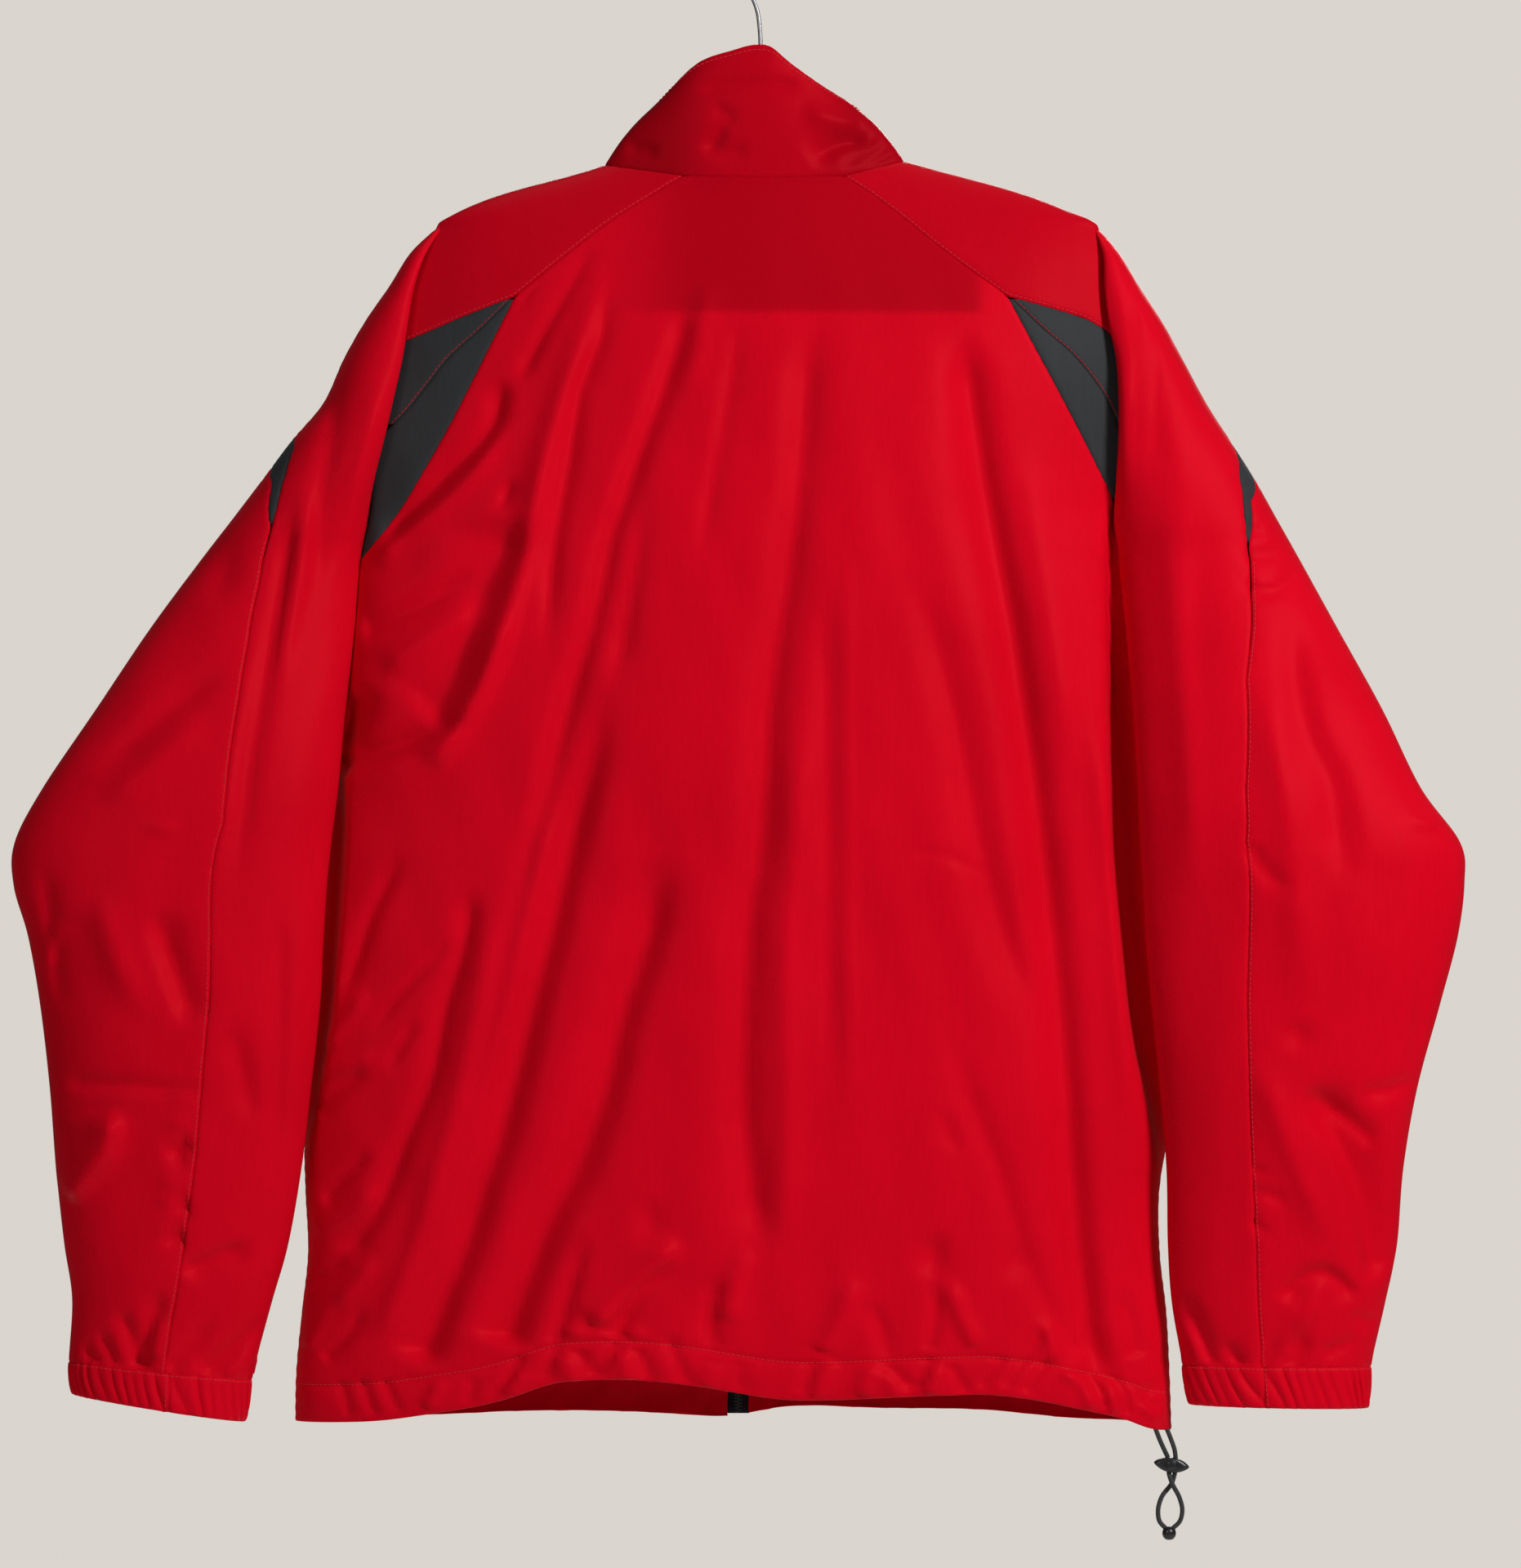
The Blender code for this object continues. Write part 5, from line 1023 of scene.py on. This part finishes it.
def add_piece(name, data, finish, replaces=(), body="jacket"):
    piece = bpy.data.objects.new(name, data)
    bpy.context.scene.collection.objects.link(piece)
    data.materials.append(FINISHES[finish])
    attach(piece, body)
    if replaces:
        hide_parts(*replaces)
    return piece


def mesh_from(name, points, faces, rounded=True):
    """A mesh from points in millimetres and lists of faces."""
    data = bpy.data.meshes.new(name)
    data.from_pydata((np.asarray(points, float) * MM).tolist(), [], faces)
    if rounded:
        data.shade_smooth()
    data.update()
    return data


def margins(length, count):
    """Shares of a stretch, close together near both ends, where the cloth rolls in."""
    close = np.minimum(np.array(MARGINS) / length, 0.2)
    inside = np.linspace(close[-1], 1 - close[-1], count + 1)
    return np.concatenate([close[:-1], inside, 1 - close[:-1][::-1]])


def arc(points, axis):
    """The length run along an axis of a grid of points, from its start."""
    run = np.cumsum(np.linalg.norm(np.diff(points, axis=axis), axis=-1), axis=axis)
    return np.concatenate([np.zeros_like(np.take(run, [0], axis=axis)), run], axis=axis)


def grid_normals(points, sign):
    normals = np.cross(np.gradient(points, axis=0), np.gradient(points, axis=1)) * sign
    return normals / np.maximum(np.linalg.norm(normals, axis=-1, keepdims=True), 1e-9)


def line_at(level, values, points, normals):
    """The points and normals of a grid where its values, row by row, reach a level."""
    found = []
    for value, place, normal in zip(values, points, normals):
        if value.max() >= level:
            order = np.argsort(value)
            found.append([at_run(level, value[order], grid[order]) for grid in (place, normal)])
    return np.array(found).swapaxes(0, 1)


class Wall:
    """A cloth wall on a grid of points: its outer skin, kept for what is sewn on it."""

    def __init__(self, points, sign, rolls, puckers, thick=THICK):
        down, across = arc(points, 0), arc(points, 1)
        self.apart = {"top": down, "bottom": down[-1:] - down, "start": across,
                      "end": across[:, -1:] - across}
        sunk = np.zeros(points.shape[:2])
        for border, depth in rolls.items():
            sunk += depth * np.clip(1 - self.apart[border] / ROLL_REACH, 0, 1) ** 2
        for border, (rise, period) in puckers.items():
            along = self.apart["start" if border in ("top", "bottom") else "top"]
            wave = np.sin(2 * math.pi * along / period + 1.7 * np.sin(along / 23)
                          + 0.9 * np.sin(along / 9.1))
            sunk += rise * wave * np.exp(-self.apart[border] / PUCKER_FADE)
        rounding = np.clip(np.minimum.reduce(list(self.apart.values())) / 0.8, 0, 1)
        half = thick / 2 * (0.25 + 0.75 * np.sqrt(1 - (1 - rounding) ** 2))
        middle = points - grid_normals(points, sign) * sunk[..., None]
        self.normals = grid_normals(middle, sign)
        self.outer = middle + self.normals * half[..., None]
        self.inner = middle - self.normals * half[..., None]
        self.sign = sign

    def mesh(self, name, facing_and_painted_shade=None):
        index = np.arange(self.outer[..., 0].size).reshape(self.outer.shape[:2])
        a, b = index[:-1, :-1].ravel(), index[1:, :-1].ravel()
        c, d = index[1:, 1:].ravel(), index[:-1, 1:].ravel()
        other = index.size
        rim = np.concatenate([index[:, 0], index[-1, 1:], index[-2::-1, -1], index[0, -2:0:-1]])
        follow = np.roll(rim, -1)
        faces = np.concatenate([
            np.stack([a, b, c, d], axis=1),
            np.stack([a, d, c, b], axis=1) + other,
            np.stack([follow, rim, rim + other, follow + other], axis=1)])
        if self.sign < 0:
            faces = faces[:, ::-1]
        points = np.concatenate([self.outer.reshape(-1, 3), self.inner.reshape(-1, 3)])
        data = mesh_from(name, points, faces.tolist())
        if facing_and_painted_shade is not None:
            layer = data.attributes.new("facing_and_painted_shade", "FLOAT", "POINT")
            layer.data.foreach_set("value", np.tile(facing_and_painted_shade.ravel(), 2).astype(np.float32))
        return data

    def beside(self, border, inset):
        """The outer skin's line at an inset from a border, with its normals."""
        grids = self.apart[border], self.outer, self.normals
        if border in ("top", "bottom"):
            grids = [grid.swapaxes(0, 1) for grid in grids]
        return line_at(inset, *grids)


def add_cloth(wall, name, node, side="", finish="red cloth", rests_on=None,
              facing_and_painted_shade=None):
    """A wall as a piece of cloth in place of its part; the flat cut that bears its name is looked
    up but not used.
    """
    end = "_" + side if side else ""
    piece = add_piece(name + end, wall.mesh(name + end, facing_and_painted_shade), finish,
                      [node + end])
    cut = name.replace("_cloth", "")
    width, length, area = CUTS.get(cut + end) or CUTS[cut]
    rests_on or ["yoke_cloth" + end]


def add_stitches(name, lines, finish):
    """Rows of stitches: short square threads that dip in at both ends."""
    points, faces = [], []
    for line, normals in lines:
        run = run_along(line)
        for start in np.arange(1.0, run[-1] - STITCH_PITCH, STITCH_PITCH):
            at = start + STITCH_LENGTH * np.array([0.0, 0.2, 0.8, 1.0])
            spot, out = at_run(at, run, line), at_run(at, run, normals)
            across = np.cross(spot[-1] - spot[0], out[1])
            across /= max(np.linalg.norm(across), 1e-9)
            base = len(points)
            for place, normal, high in zip(spot, out, (-0.15, 0.12, 0.12, -0.15)):
                for turn in (0.0, math.pi / 2, math.pi, 1.5 * math.pi):
                    points.append(place + normal * high + STITCH_RADIUS * (
                        across * math.cos(turn) + normal * math.sin(turn)))
            for first in range(base, base + 12, 4):
                faces += [(first + k, first + n, first + 4 + n, first + 4 + k)
                          for k, n in ((0, 1), (1, 2), (2, 3), (3, 0))]
            faces += [(base + 3, base + 2, base + 1, base),
                      (base + 12, base + 13, base + 14, base + 15)]
    add_piece(name, mesh_from(name, points, faces), finish)


# ---------------------------------------------------------------- camera and cords


def build_camera():
    camera = bpy.data.objects.new("camera", bpy.data.cameras.new("camera"))
    bpy.context.scene.collection.objects.link(camera)
    camera.data.sensor_width = SENSOR
    camera.data.lens = SENSOR * CAMERA_DISTANCE / IMAGE_HEIGHT
    camera.data.clip_end = 50.0
    camera.location = Vector((VIEW_CENTRE[0], -CAMERA_DISTANCE, VIEW_CENTRE[1])) * MM
    camera.rotation_euler = (math.pi / 2, 0.0, 0.0)
    bpy.context.scene.camera = camera


def tube(name, route, radius, finish, replaces, resolution=4):
    """A round tube along a route in millimetres."""
    curve = bpy.data.curves.new(name, "CURVE")
    curve.dimensions = "3D"
    curve.bevel_depth = radius * MM
    curve.bevel_resolution = resolution
    curve.use_fill_caps = True
    spline = curve.splines.new("POLY")
    spline.points.add(len(route) - 1)
    for point, place in zip(spline.points, route):
        point.co = (*[value * MM for value in place], 1.0)
    return add_piece(name, curve, finish, replaces)


def ringed(name, centre, x, y, z, tilt=0.0, flip=False):
    """A closed solid through rings of points round a centre, tilted as the eye sees it. flip is
    for rings that run the other way."""
    cos, sin = math.cos(tilt), math.sin(tilt)
    points = np.array(centre) + np.stack(
        np.broadcast_arrays(x * cos - z * sin, y, x * sin + z * cos), axis=-1)
    index = np.arange(points[..., 0].size).reshape(points.shape[:2])
    follow = np.roll(index, -1, axis=1)
    quads, caps = [index[:-1], follow[:-1], follow[1:], index[1:]], [index[0, ::-1], index[-1]]
    if flip:
        quads, caps = quads[:1] + quads[:0:-1], [cap[::-1] for cap in caps]
    faces = np.stack(quads, axis=-1).reshape(-1, 4).tolist() + [cap.tolist() for cap in caps]
    return mesh_from(name, points.reshape(-1, 3), faces)


def lock_mesh():
    """The cord lock's eye-shaped body."""
    def signed(value, power):
        return np.copysign(np.abs(value) ** power, value)

    turn = math.pi * np.arange(1, LOCK_RINGS)[:, None] / LOCK_RINGS
    angle = 2 * math.pi * np.arange(LOCK_AROUND) / LOCK_AROUND
    grow = np.sin(turn) ** 0.35
    high = signed(np.sin(angle), 1.25) * (1.0 - 0.12 * np.cos(2 * angle))
    return ringed("lock_body", LOCK_CENTRE, LOCK_HALF[0] * grow * np.cos(angle),
                  -LOCK_HALF[1] * signed(np.cos(turn), 0.6), LOCK_HALF[2] * grow * high,
                  LOCK_TILT, flip=True)


def turned(name, centre, profile, around, lying=False):
    """A turned piece: profile rows are radius and height along its axis, which stands or lies
    along the line of sight."""
    radius, high = rows_of(profile).T[..., None]
    angle = 2 * math.pi * np.arange(around) / around
    x, y = radius * np.cos(angle), radius * np.sin(angle)
    return ringed(name, centre, x, high, -y) if lying else ringed(name, centre, x, y, high)


def build_cords():
    """Both strands with the lock and the bead that they carry."""
    routes = {side: through(STRANDS[side], 40) for side in LEFT_RIGHT}
    strands = {side: tube("cord_" + side, route, CORD_RADIUS, "braided cord",
                          ["drawcord_" + side + "_strand"]) for side, route in routes.items()}
    lock, button, bead = (
        add_piece(data.name, data, "black plastic", replaces)
        for data, replaces in (
            (lock_mesh(), ["cord_lock"]),
            (turned("lock_button", LOCK_CENTRE, BUTTON_PROFILE, 28, lying=True), ()),
            (turned("cord_bead", BEAD_CENTRE, BEAD_PROFILE, 32), ["cord_end"])))


# ---------------------------------------------------------------- the garment


def torso_wall(face, top, bottom, borders, puckers, bottom_roll=SEAM_ROLL):
    """A panel of the torso between two borders, each a function of height."""
    left, right = borders
    fine = top - (top - bottom) * margins(top - bottom, int(round((top - bottom) / GRID)))
    between = (fine[:-1] + fine[1:]) / 2
    hem = (between < HEM_GRID_FROM) & (-np.diff(fine) > GRID / 2)
    fine = np.sort(np.concatenate([fine, between[hem]]))[::-1]
    widest = max(float(right(np.array(z)) - left(np.array(z)))
                 for z in (bottom + 1, (top + bottom) / 2))
    share = margins(widest, max(8, int(round(widest / GRID))))
    share = share - SIDE_CROWDING * np.sin(2 * math.pi * share)
    grid_z = np.repeat(fine[:, None], len(share), axis=1)
    height = grid_z
    for _ in range(5):
        x = left(height) + (right(height) - left(height)) * share
        last, height = height, follow_hem(x, grid_z, face)
    return Wall(torso_point(x, last, face), -facing(face), {**SEAMS, "bottom": bottom_roll},
                puckers)


def sided(side, inner, outer):
    return (inner, outer) if side == "right" else (outer, inner)


def collar_painted_shade(points):
    """Painted shade: the collar is painted darker all over, and darker still where it turns away
    to its sides.
    """
    return COLLAR_PAINTED_SHADE + 0.55 * ease((np.abs(points[..., 0] - 2) - 18) / 45)


def upper_shade(points):
    """The back's upper part is doubled by a facing inside, and looks deeper."""
    x, z = points[..., 0], points[..., 2]
    return FACING_TONE * ease((z + 238) / 6) * ease((x + 100) / 74) * ease((134 - x) / 10)


def build_back():
    wall = torso_wall(
        "back", PANEL_TOP["back"], HEM_LEVEL,
        [lambda z, side=side: outer_seam(side, RAGLAN[side], z) for side in LEFT_RIGHT],
        {"start": (0.28, 7.5), "end": (0.28, 8.5), "top": (0.12, 9.0)}, HEM_ROLL)
    add_cloth(wall, "back_cloth", "back_panel", rests_on=YOKES, facing_and_painted_shade=upper_shade(wall.outer))
    return wall


def build_back_inserts(side):
    """The two black inserts; returns the upper one, whose seam is topstitched."""
    seam = INSERT_SEAM[side]

    def middle(z):
        return read(seam, "x", z)

    def lower_outside(z):
        return np.where(z > seam["z"][-1], middle(z), shown_side(side, z))

    walls = {}
    for part, inner, outer, rise in (
            ("upper", middle, lambda z: insert_top(side, z), 0.12),
            ("lower", lambda z: panel_edge(side, z), lower_outside, 0.15)):
        walls[part] = torso_wall(
            "back", YOKE_TURN - 1.5, INSERT_FOOT[part][side], sided(side, inner, outer),
            {"start": (rise, 8.0), "end": (0.12, 7.0)})
        add_cloth(walls[part], "insert_" + part + "_cloth", "back_insert_" + part, side,
                  "black cloth")
    return walls["upper"]


def build_front(side):
    neck = NECK_FRONT[side]

    def inside(z):
        zip_edge = read(ZIP_LINE, "x", z) + outward(side) * ZIP_HALF_WIDTH
        return np.where(z > min(neck["z"]), smooth(z, neck["z"], neck["x"]), zip_edge)

    front = torso_wall("front", PANEL_TOP["front"], HEM_LEVEL,
                       sided(side, inside, lambda z: outer_seam(side, FRONT_RAGLAN[side], z)),
                       {"start": (0.22, 8.0), "end": (0.22, 9.0)}, HEM_ROLL)
    add_cloth(front, "front_cloth", "front", side)
    insert = torso_wall("front", YOKE_TURN - 1.5, INSERT_FOOT["front"][side],
                        sided(side, lambda z: panel_edge(side, z), lambda z: insert_top(side, z)),
                        {"start": (0.12, 8.0), "end": (0.12, 7.0)})
    add_cloth(insert, "front_insert_cloth", "front_insert", side, "black cloth")
    return front


def yoke_half(side, face):
    """Half a yoke: rows from the seam up to the ridge, columns from the neck to the armhole."""
    raglan = RAGLAN[side] if face == "back" else FRONT_RAGLAN[side]
    upper = np.linspace(raglan["z"][0], YOKE_TURN, 40)
    lower = np.linspace(YOKE_TURN, YOKE_END, 24)[1:]
    seam = np.concatenate([np.stack([read(raglan, "x", upper), upper], axis=-1),
                           np.stack([insert_top(side, lower), lower], axis=-1)])
    run = run_along(seam)
    share = margins(run[-1], 44)
    seam = at_run(share * run[-1], run, seam)
    ridge_x = YOKE_NECK[side] + (YOKE_TIP[side] - YOKE_NECK[side]) * share
    ridge = np.stack([ridge_x, ridge_height(ridge_x)], axis=-1)
    drops = np.linspace(1, 0, YOKE_ROWS + 1)
    drops = np.concatenate([[1.0], [1 - d / 160 for d in MARGINS[1:3]], drops[1:]]) ** 2
    grid = ridge + (seam - ridge) * drops[:, None, None]
    end_x = torso_side(side, ridge[-1, 1] + (seam[-1, 1] - ridge[-1, 1]) * drops)
    end_x[-1] = YOKE_TIP[side]
    grid[..., 0] += (end_x - grid[:, -1, 0])[:, None] * share**3
    return torso_point(grid[..., 0], grid[..., 1], face)


def build_yoke(side):
    """A yoke, and its neck ends on the back and on the front for the collar."""
    back, front = yoke_half(side, "back"), yoke_half(side, "front")
    whole = np.concatenate([back[:-1], front[::-1]])
    middle = len(back) - 1
    whole[middle, :, 1] = 0.0
    wall = Wall(whole, -outward(side), SEAMS,
                {"top": (0.2, 8.0), "bottom": (0.2, 8.0), "start": (0.1, 9.0)})
    # The yokes are painted a darker tone all over: painted shade.
    add_cloth(wall, "yoke_cloth", "shoulder_yoke", side, rests_on=["hanger_arms"],
              facing_and_painted_shade=np.full(whole.shape[:2], YOKE_PAINTED_SHADE))
    return wall, (whole[:middle + 1, 0], whole[middle:, 0][::-1])


def build_collar(yoke_ends):
    """The stand collar, from its left front end round the back to its right front end."""
    (left_back, left_front), (right_back, right_front) = yoke_ends

    def front_points(side, x):
        return torso_point(x, read(NECK_FRONT[side], "z", x, "x"), "front")

    back_x = np.linspace(-44, 49, 30)[1:-1]
    back = torso_point(back_x, read(NECK_BACK, "z", back_x, "x"), "back")
    base = np.concatenate([front_points("left", np.linspace(-6.8, -62, 24)[:-1]), left_front,
                           left_back[::-1][1:], back, right_back, right_front[::-1][1:],
                           front_points("right", np.linspace(60, 6.8, 24)[1:])])
    run = run_along(base)
    start = len(left_front) + len(left_back) + 21
    near = slice(start, start + 28)
    middle = np.interp(2.0, base[near, 0], run[near])
    at = margins(run[-1], 150) * run[-1]
    base = at_run(at, run, base)
    share = np.where(at < middle, at / middle - 1, (at - middle) / (run[-1] - middle))
    top = np.stack([read(COLLAR_TOP, k, share, "share") for k in "xyz"], axis=-1)
    rise = top - base
    base = base + rise / np.linalg.norm(rise, axis=-1, keepdims=True) * COLLAR_LIFT
    heights = margins(COLLAR_HEIGHT, 24)[:, None]
    points = base[None] + (top - base)[None] * heights[..., None]
    bulge = COLLAR_BULGE * hump(heights) + 0 * share
    for where, high, wide, tall, rise in COLLAR_FOLDS:
        bulge += (rise * np.exp(-((share - where) / wide) ** 2)
                  * np.exp(-((heights - high) / tall) ** 2) * hump(heights, 0.5))
    seen = fold_rise(points[..., 0], points[..., 2], COLLAR_BACK_FOLDS)
    bulge += seen * ease((6 - points[..., 1]) / 14.0) * hump(heights, 0.5)
    wall = Wall(points - grid_normals(points, 1.0) * bulge[..., None], -1.0,
                {"top": 0.5, "bottom": 0.2}, {"top": (0.15, 9.0), "bottom": (0.12, 8.0)},
                COLLAR_THICK)
    # The collar's colour carries painted shade, deeper towards its sides.
    add_cloth(wall, "collar_cloth", "collar", rests_on=YOKES,
              facing_and_painted_shade=collar_painted_shade(wall.outer))
    return wall


def gathers(angle, turn):
    """Close, uneven gathers round a wrist: rounded crests with sharp valleys between."""
    wave = angle * 38 + 2.6 * np.sin(angle * 3.0) + 1.8 * np.sin(angle * 7.0) + turn
    uneven = 1.0 + 0.4 * np.sin(angle * 5.0 + 1.0) + 0.35 * np.sin(angle * 13.0 + turn * 0.3)
    return (np.abs(np.sin(wave / 2)) - 0.6) * uneven


def sleeve_wall(side, rows, start, end, puckers):
    """A piece of the sleeve between two borders, each an angle at a row, with the gathers that
    run up from the elastic cuff and fade."""
    first, last = start(rows)[:, None], end(rows)[:, None]
    mid = rows[len(rows) // 2]
    wide = float(abs(end(mid) - start(mid))) * SLEEVE_RADIUS
    share = margins(wide, max(10, int(round(wide / SLEEVE_GRID))))
    angle = first + (last - first) * share
    row = np.repeat(rows[:, None], len(share), axis=1)
    points = sleeve_point(side, row, angle)
    lift = 1.1 * np.exp(-np.maximum(CUFF_ROW - row, 0) * 4.0) * gathers(angle, 0.0)
    points = points + grid_normals(points, outward(side)) * lift[..., None]
    return Wall(points, outward(side), SEAMS, puckers)


def build_sleeve(side):
    middles = sleeve_middles(side)
    heights = np.arange(middles[0] - 0.1, middles[CUFF_ROW], -SLEEVE_GRID)
    heights = np.concatenate([heights[:1], heights[:1] - MARGINS[1:3], heights[1:]])
    rows = np.concatenate([sleeve_row(side, heights)[:-1],
                           [CUFF_ROW - 0.05, CUFF_ROW - 0.015, CUFF_ROW]])
    crescent = CRESCENT[side]
    top, low, tip = (sleeve_row(side, line["z"][0])
                     for line in (crescent["upper"], crescent["lower"], SLEEVE_SEAM[side]))
    fold, upper, lower, armhole = (
        lambda row: -sleeve_value(side, "lap", row),
        lambda row: seam_angle(side, row, "upper"),
        lambda row: seam_angle(side, row, "lower"),
        lambda row: 2 * math.pi + sleeve_value(side, "lap", row))
    for part, finish, shown, start, end, puckers in (
            ("inner", "red cloth", rows > -1, fold, upper,
             {"end": (0.25, 9.0), "start": (0.1, 8.0)}),
            ("insert", "black cloth", (rows > top + 0.1) & (rows < tip - 0.02), upper, lower, {}),
            ("outer", "red cloth", rows > low + 0.1, lower, armhole, {"start": (0.3, 8.0)})):
        wall = sleeve_wall(side, rows[shown], start, end, puckers)
        add_cloth(wall, "sleeve_" + part + "_cloth", "sleeve_" + part, side, finish)
    return wall


def build_cuff(side):
    """The elastic cuff: a puffed casing with close, uneven gathers and a seam."""
    rows = CUFF_ROW - 0.035 + 1.035 * margins(CUFF_HEIGHT, 14)
    row, angle = np.meshgrid(rows, np.linspace(0, 2 * math.pi, 521), indexing="ij")
    points = sleeve_point(side, row, angle)
    share = np.clip(row - CUFF_ROW, 0, 1)
    puff = hump(share, 0.5)
    gather = gathers(angle, -CUFF_LEAN[side] * share)
    seam = np.exp(-((points[..., 0] - CUFF_SEAM[side]) / 1.0) ** 2) * (np.sin(angle) > 0)
    lift = 0.2 + 0.7 * puff + 1.5 * gather * (0.3 + 0.7 * puff) - 0.9 * seam
    wall = Wall(points + grid_normals(points, outward(side)) * lift[..., None], outward(side),
                {"top": SEAM_ROLL, "bottom": 0.7}, {})
    add_cloth(wall, "cuff_cloth", "cuff", side,
              rests_on=["sleeve_outer_cloth_" + side, "sleeve_inner_cloth_" + side])
    return wall


# ---------------------------------------------------------------- zip, hanger and sewing


def build_zip(collar):
    """The zip's tape and its two rows of teeth."""
    body_z = np.linspace(-884.0, -236.0, 150)
    body = torso_point(read(ZIP_LINE, "x", body_z), body_z, "front")
    collar_line = (collar.outer[:, 0] + collar.outer[:, -1]) / 2
    line = np.concatenate([body, collar_line[2:-1]])
    across = np.linspace(-1, 1, 7) * (ZIP_HALF_WIDTH + 0.6)
    points = line[:, None] + np.stack([across, across * 0, across * 0], axis=-1)[None]
    points[..., 1] -= 0.5
    add_cloth(Wall(points[::-1], -1.0, {}, {}, 1.0), "zip_tape", "zip_chain", finish="zip tape",
              rests_on=["front_cloth_left", "front_cloth_right"])
    run = run_along(line)
    places, faces = [], []
    for k, at in enumerate(np.arange(1.0, run[-1] - 1.0, TOOTH_PITCH / 2)):
        side = 1 if k % 2 else -1
        places += [at_run(at, run, line) + (side * dx, dy, dz * (0.75 if dy > 0 else 1.0))
                   for dx in (-0.5, 2.3) for dy in (-1.4, 1.5) for dz in (-0.55, 0.55)]
        faces += [[8 * k + i for i in face[::side]] for face in BLOCK_FACES]
    add_piece("zip_teeth", mesh_from("zip_teeth", places, faces, rounded=False), "zip teeth")


def build_hook():
    """The hanger's wire hook, drawn finely."""
    middle = HOOK_RADIUS + WIRE_RADIUS
    turns = [math.radians(a) for a in range(222, -40, -6)]
    loop = [(middle * math.cos(t), 0.0, -HOOK_RADIUS + middle * math.sin(t)) for t in turns]
    tube("hook_wire", through([*HOOK_STEM, *loop], 130), WIRE_RADIUS, "hook wire",
         ["hanger_hook"], resolution=5)


def casing_line(wall, face):
    """The casing's stitch line on a panel, at the casing's height over the hem."""
    above = wall.outer[..., 2] - hem_height(wall.outer[..., 0], face)
    return line_at(CASING, *(grid.swapaxes(0, 1)[3:-3]
                             for grid in (above, wall.outer, wall.normals)))


def build_sewing(back, inserts, fronts, yokes, collar, sleeves, cuffs):
    """Every row of topstitching that shows."""
    red = [casing_line(back, "back"), *(casing_line(front, "front") for front in fronts),
           collar.beside("bottom", 3.2)]
    for side, yoke, sleeve, cuff in zip(LEFT_RIGHT, yokes, sleeves, cuffs):
        red += [yoke.beside("top", 1.6), yoke.beside("bottom", 1.6), cuff.beside("top", 1.8)]
        middle = cuff.outer[len(cuff.outer) // 2]
        away = np.abs(middle[:, 0] - CUFF_SEAM[side] - outward(side) * 1.6)
        near = np.argmin(away + 1000.0 * (middle[:, 1] > -18))
        red.append((cuff.outer[1:-1, near], cuff.normals[1:-1, near]))
        line, normals = sleeve.beside("start", 1.6)
        below = line[:, 2] < SLEEVE_SEAM[side]["z"][0] - 6
        red.append((line[below], normals[below]))
    add_stitches("red_topstitch", red, "red thread")
    add_stitches("insert_topstitch", [insert.beside(border, 1.6)
                                      for insert, border in zip(inserts, ("end", "start"))],
                 "bright red thread")


# ---------------------------------------------------------------- light and floor


def build_light():
    world = bpy.data.worlds.new("studio")
    bpy.context.scene.world = world
    world.use_nodes = True
    tree = world.node_tree
    tree.nodes.clear()
    path, mix, output = (tree.nodes.new("ShaderNode" + kind)
                         for kind in ("LightPath", "MixShader", "OutputWorld"))
    tree.links.new(path.outputs["Is Camera Ray"], mix.inputs[0])
    tree.links.new(mix.outputs[0], output.inputs["Surface"])
    for socket, color, strength in ((1, LIT_COLOR, LIT_STRENGTH), (2, SEEN_COLOR, 1.0)):
        background = tree.nodes.new("ShaderNodeBackground")
        background.inputs["Color"].default_value = color
        background.inputs["Strength"].default_value = strength
        tree.links.new(background.outputs[0], mix.inputs[socket])
    for name, place, size, power in LAMPS:
        light = bpy.data.objects.new(name, bpy.data.lights.new(name, "AREA"))
        light.data.shape = "DISK"
        light.data.size = size
        light.data.energy = power
        light.location = place
        light.rotation_euler = (LAMP_AIM - light.location).to_track_quat("-Z", "Y").to_euler()
        bpy.context.scene.collection.objects.link(light)


def build_floor():
    around = 2 * math.pi * np.arange(96) / 96
    ring = np.stack([FLOOR_RADIUS * np.cos(around), FLOOR_RADIUS * np.sin(around),
                     np.full(96, FLOOR_HEIGHT)], axis=-1)
    data = mesh_from("floor", ring, [tuple(range(96))], rounded=False)
    floor = bpy.data.objects.new("floor", data)
    bpy.context.scene.collection.objects.link(floor)
    finish = Finish("pale floor", 0.8)
    finish.tint(finish.noise(6.0, 3.0), (0.70, 0.68, 0.65, 1), (0.76, 0.74, 0.71, 1))
    data.materials.append(finish.material)


def main():
    bpy.context.scene.view_settings.view_transform = "Standard"
    build_camera()
    build_cords()
    yokes, yoke_ends = zip(*(build_yoke(side) for side in LEFT_RIGHT))
    back = build_back()
    inserts, fronts = ([build(side) for side in LEFT_RIGHT]
                       for build in (build_back_inserts, build_front))
    collar = build_collar(yoke_ends)
    sleeves, cuffs = zip(*((build_sleeve(side), build_cuff(side)) for side in LEFT_RIGHT))
    build_zip(collar)
    build_hook()
    build_sewing(back, inserts, fronts, yokes, collar, sleeves, cuffs)
    for node, finish in (("hanger_arms", "hanger bar"), ("zip_box", "black plastic"),
                         ("zip_slider", "black zip metal"), ("zip_pull_tab", "black zip metal")):
        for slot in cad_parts[node].material_slots:
            slot.material = FINISHES[finish]
    build_light()
    build_floor()


main()
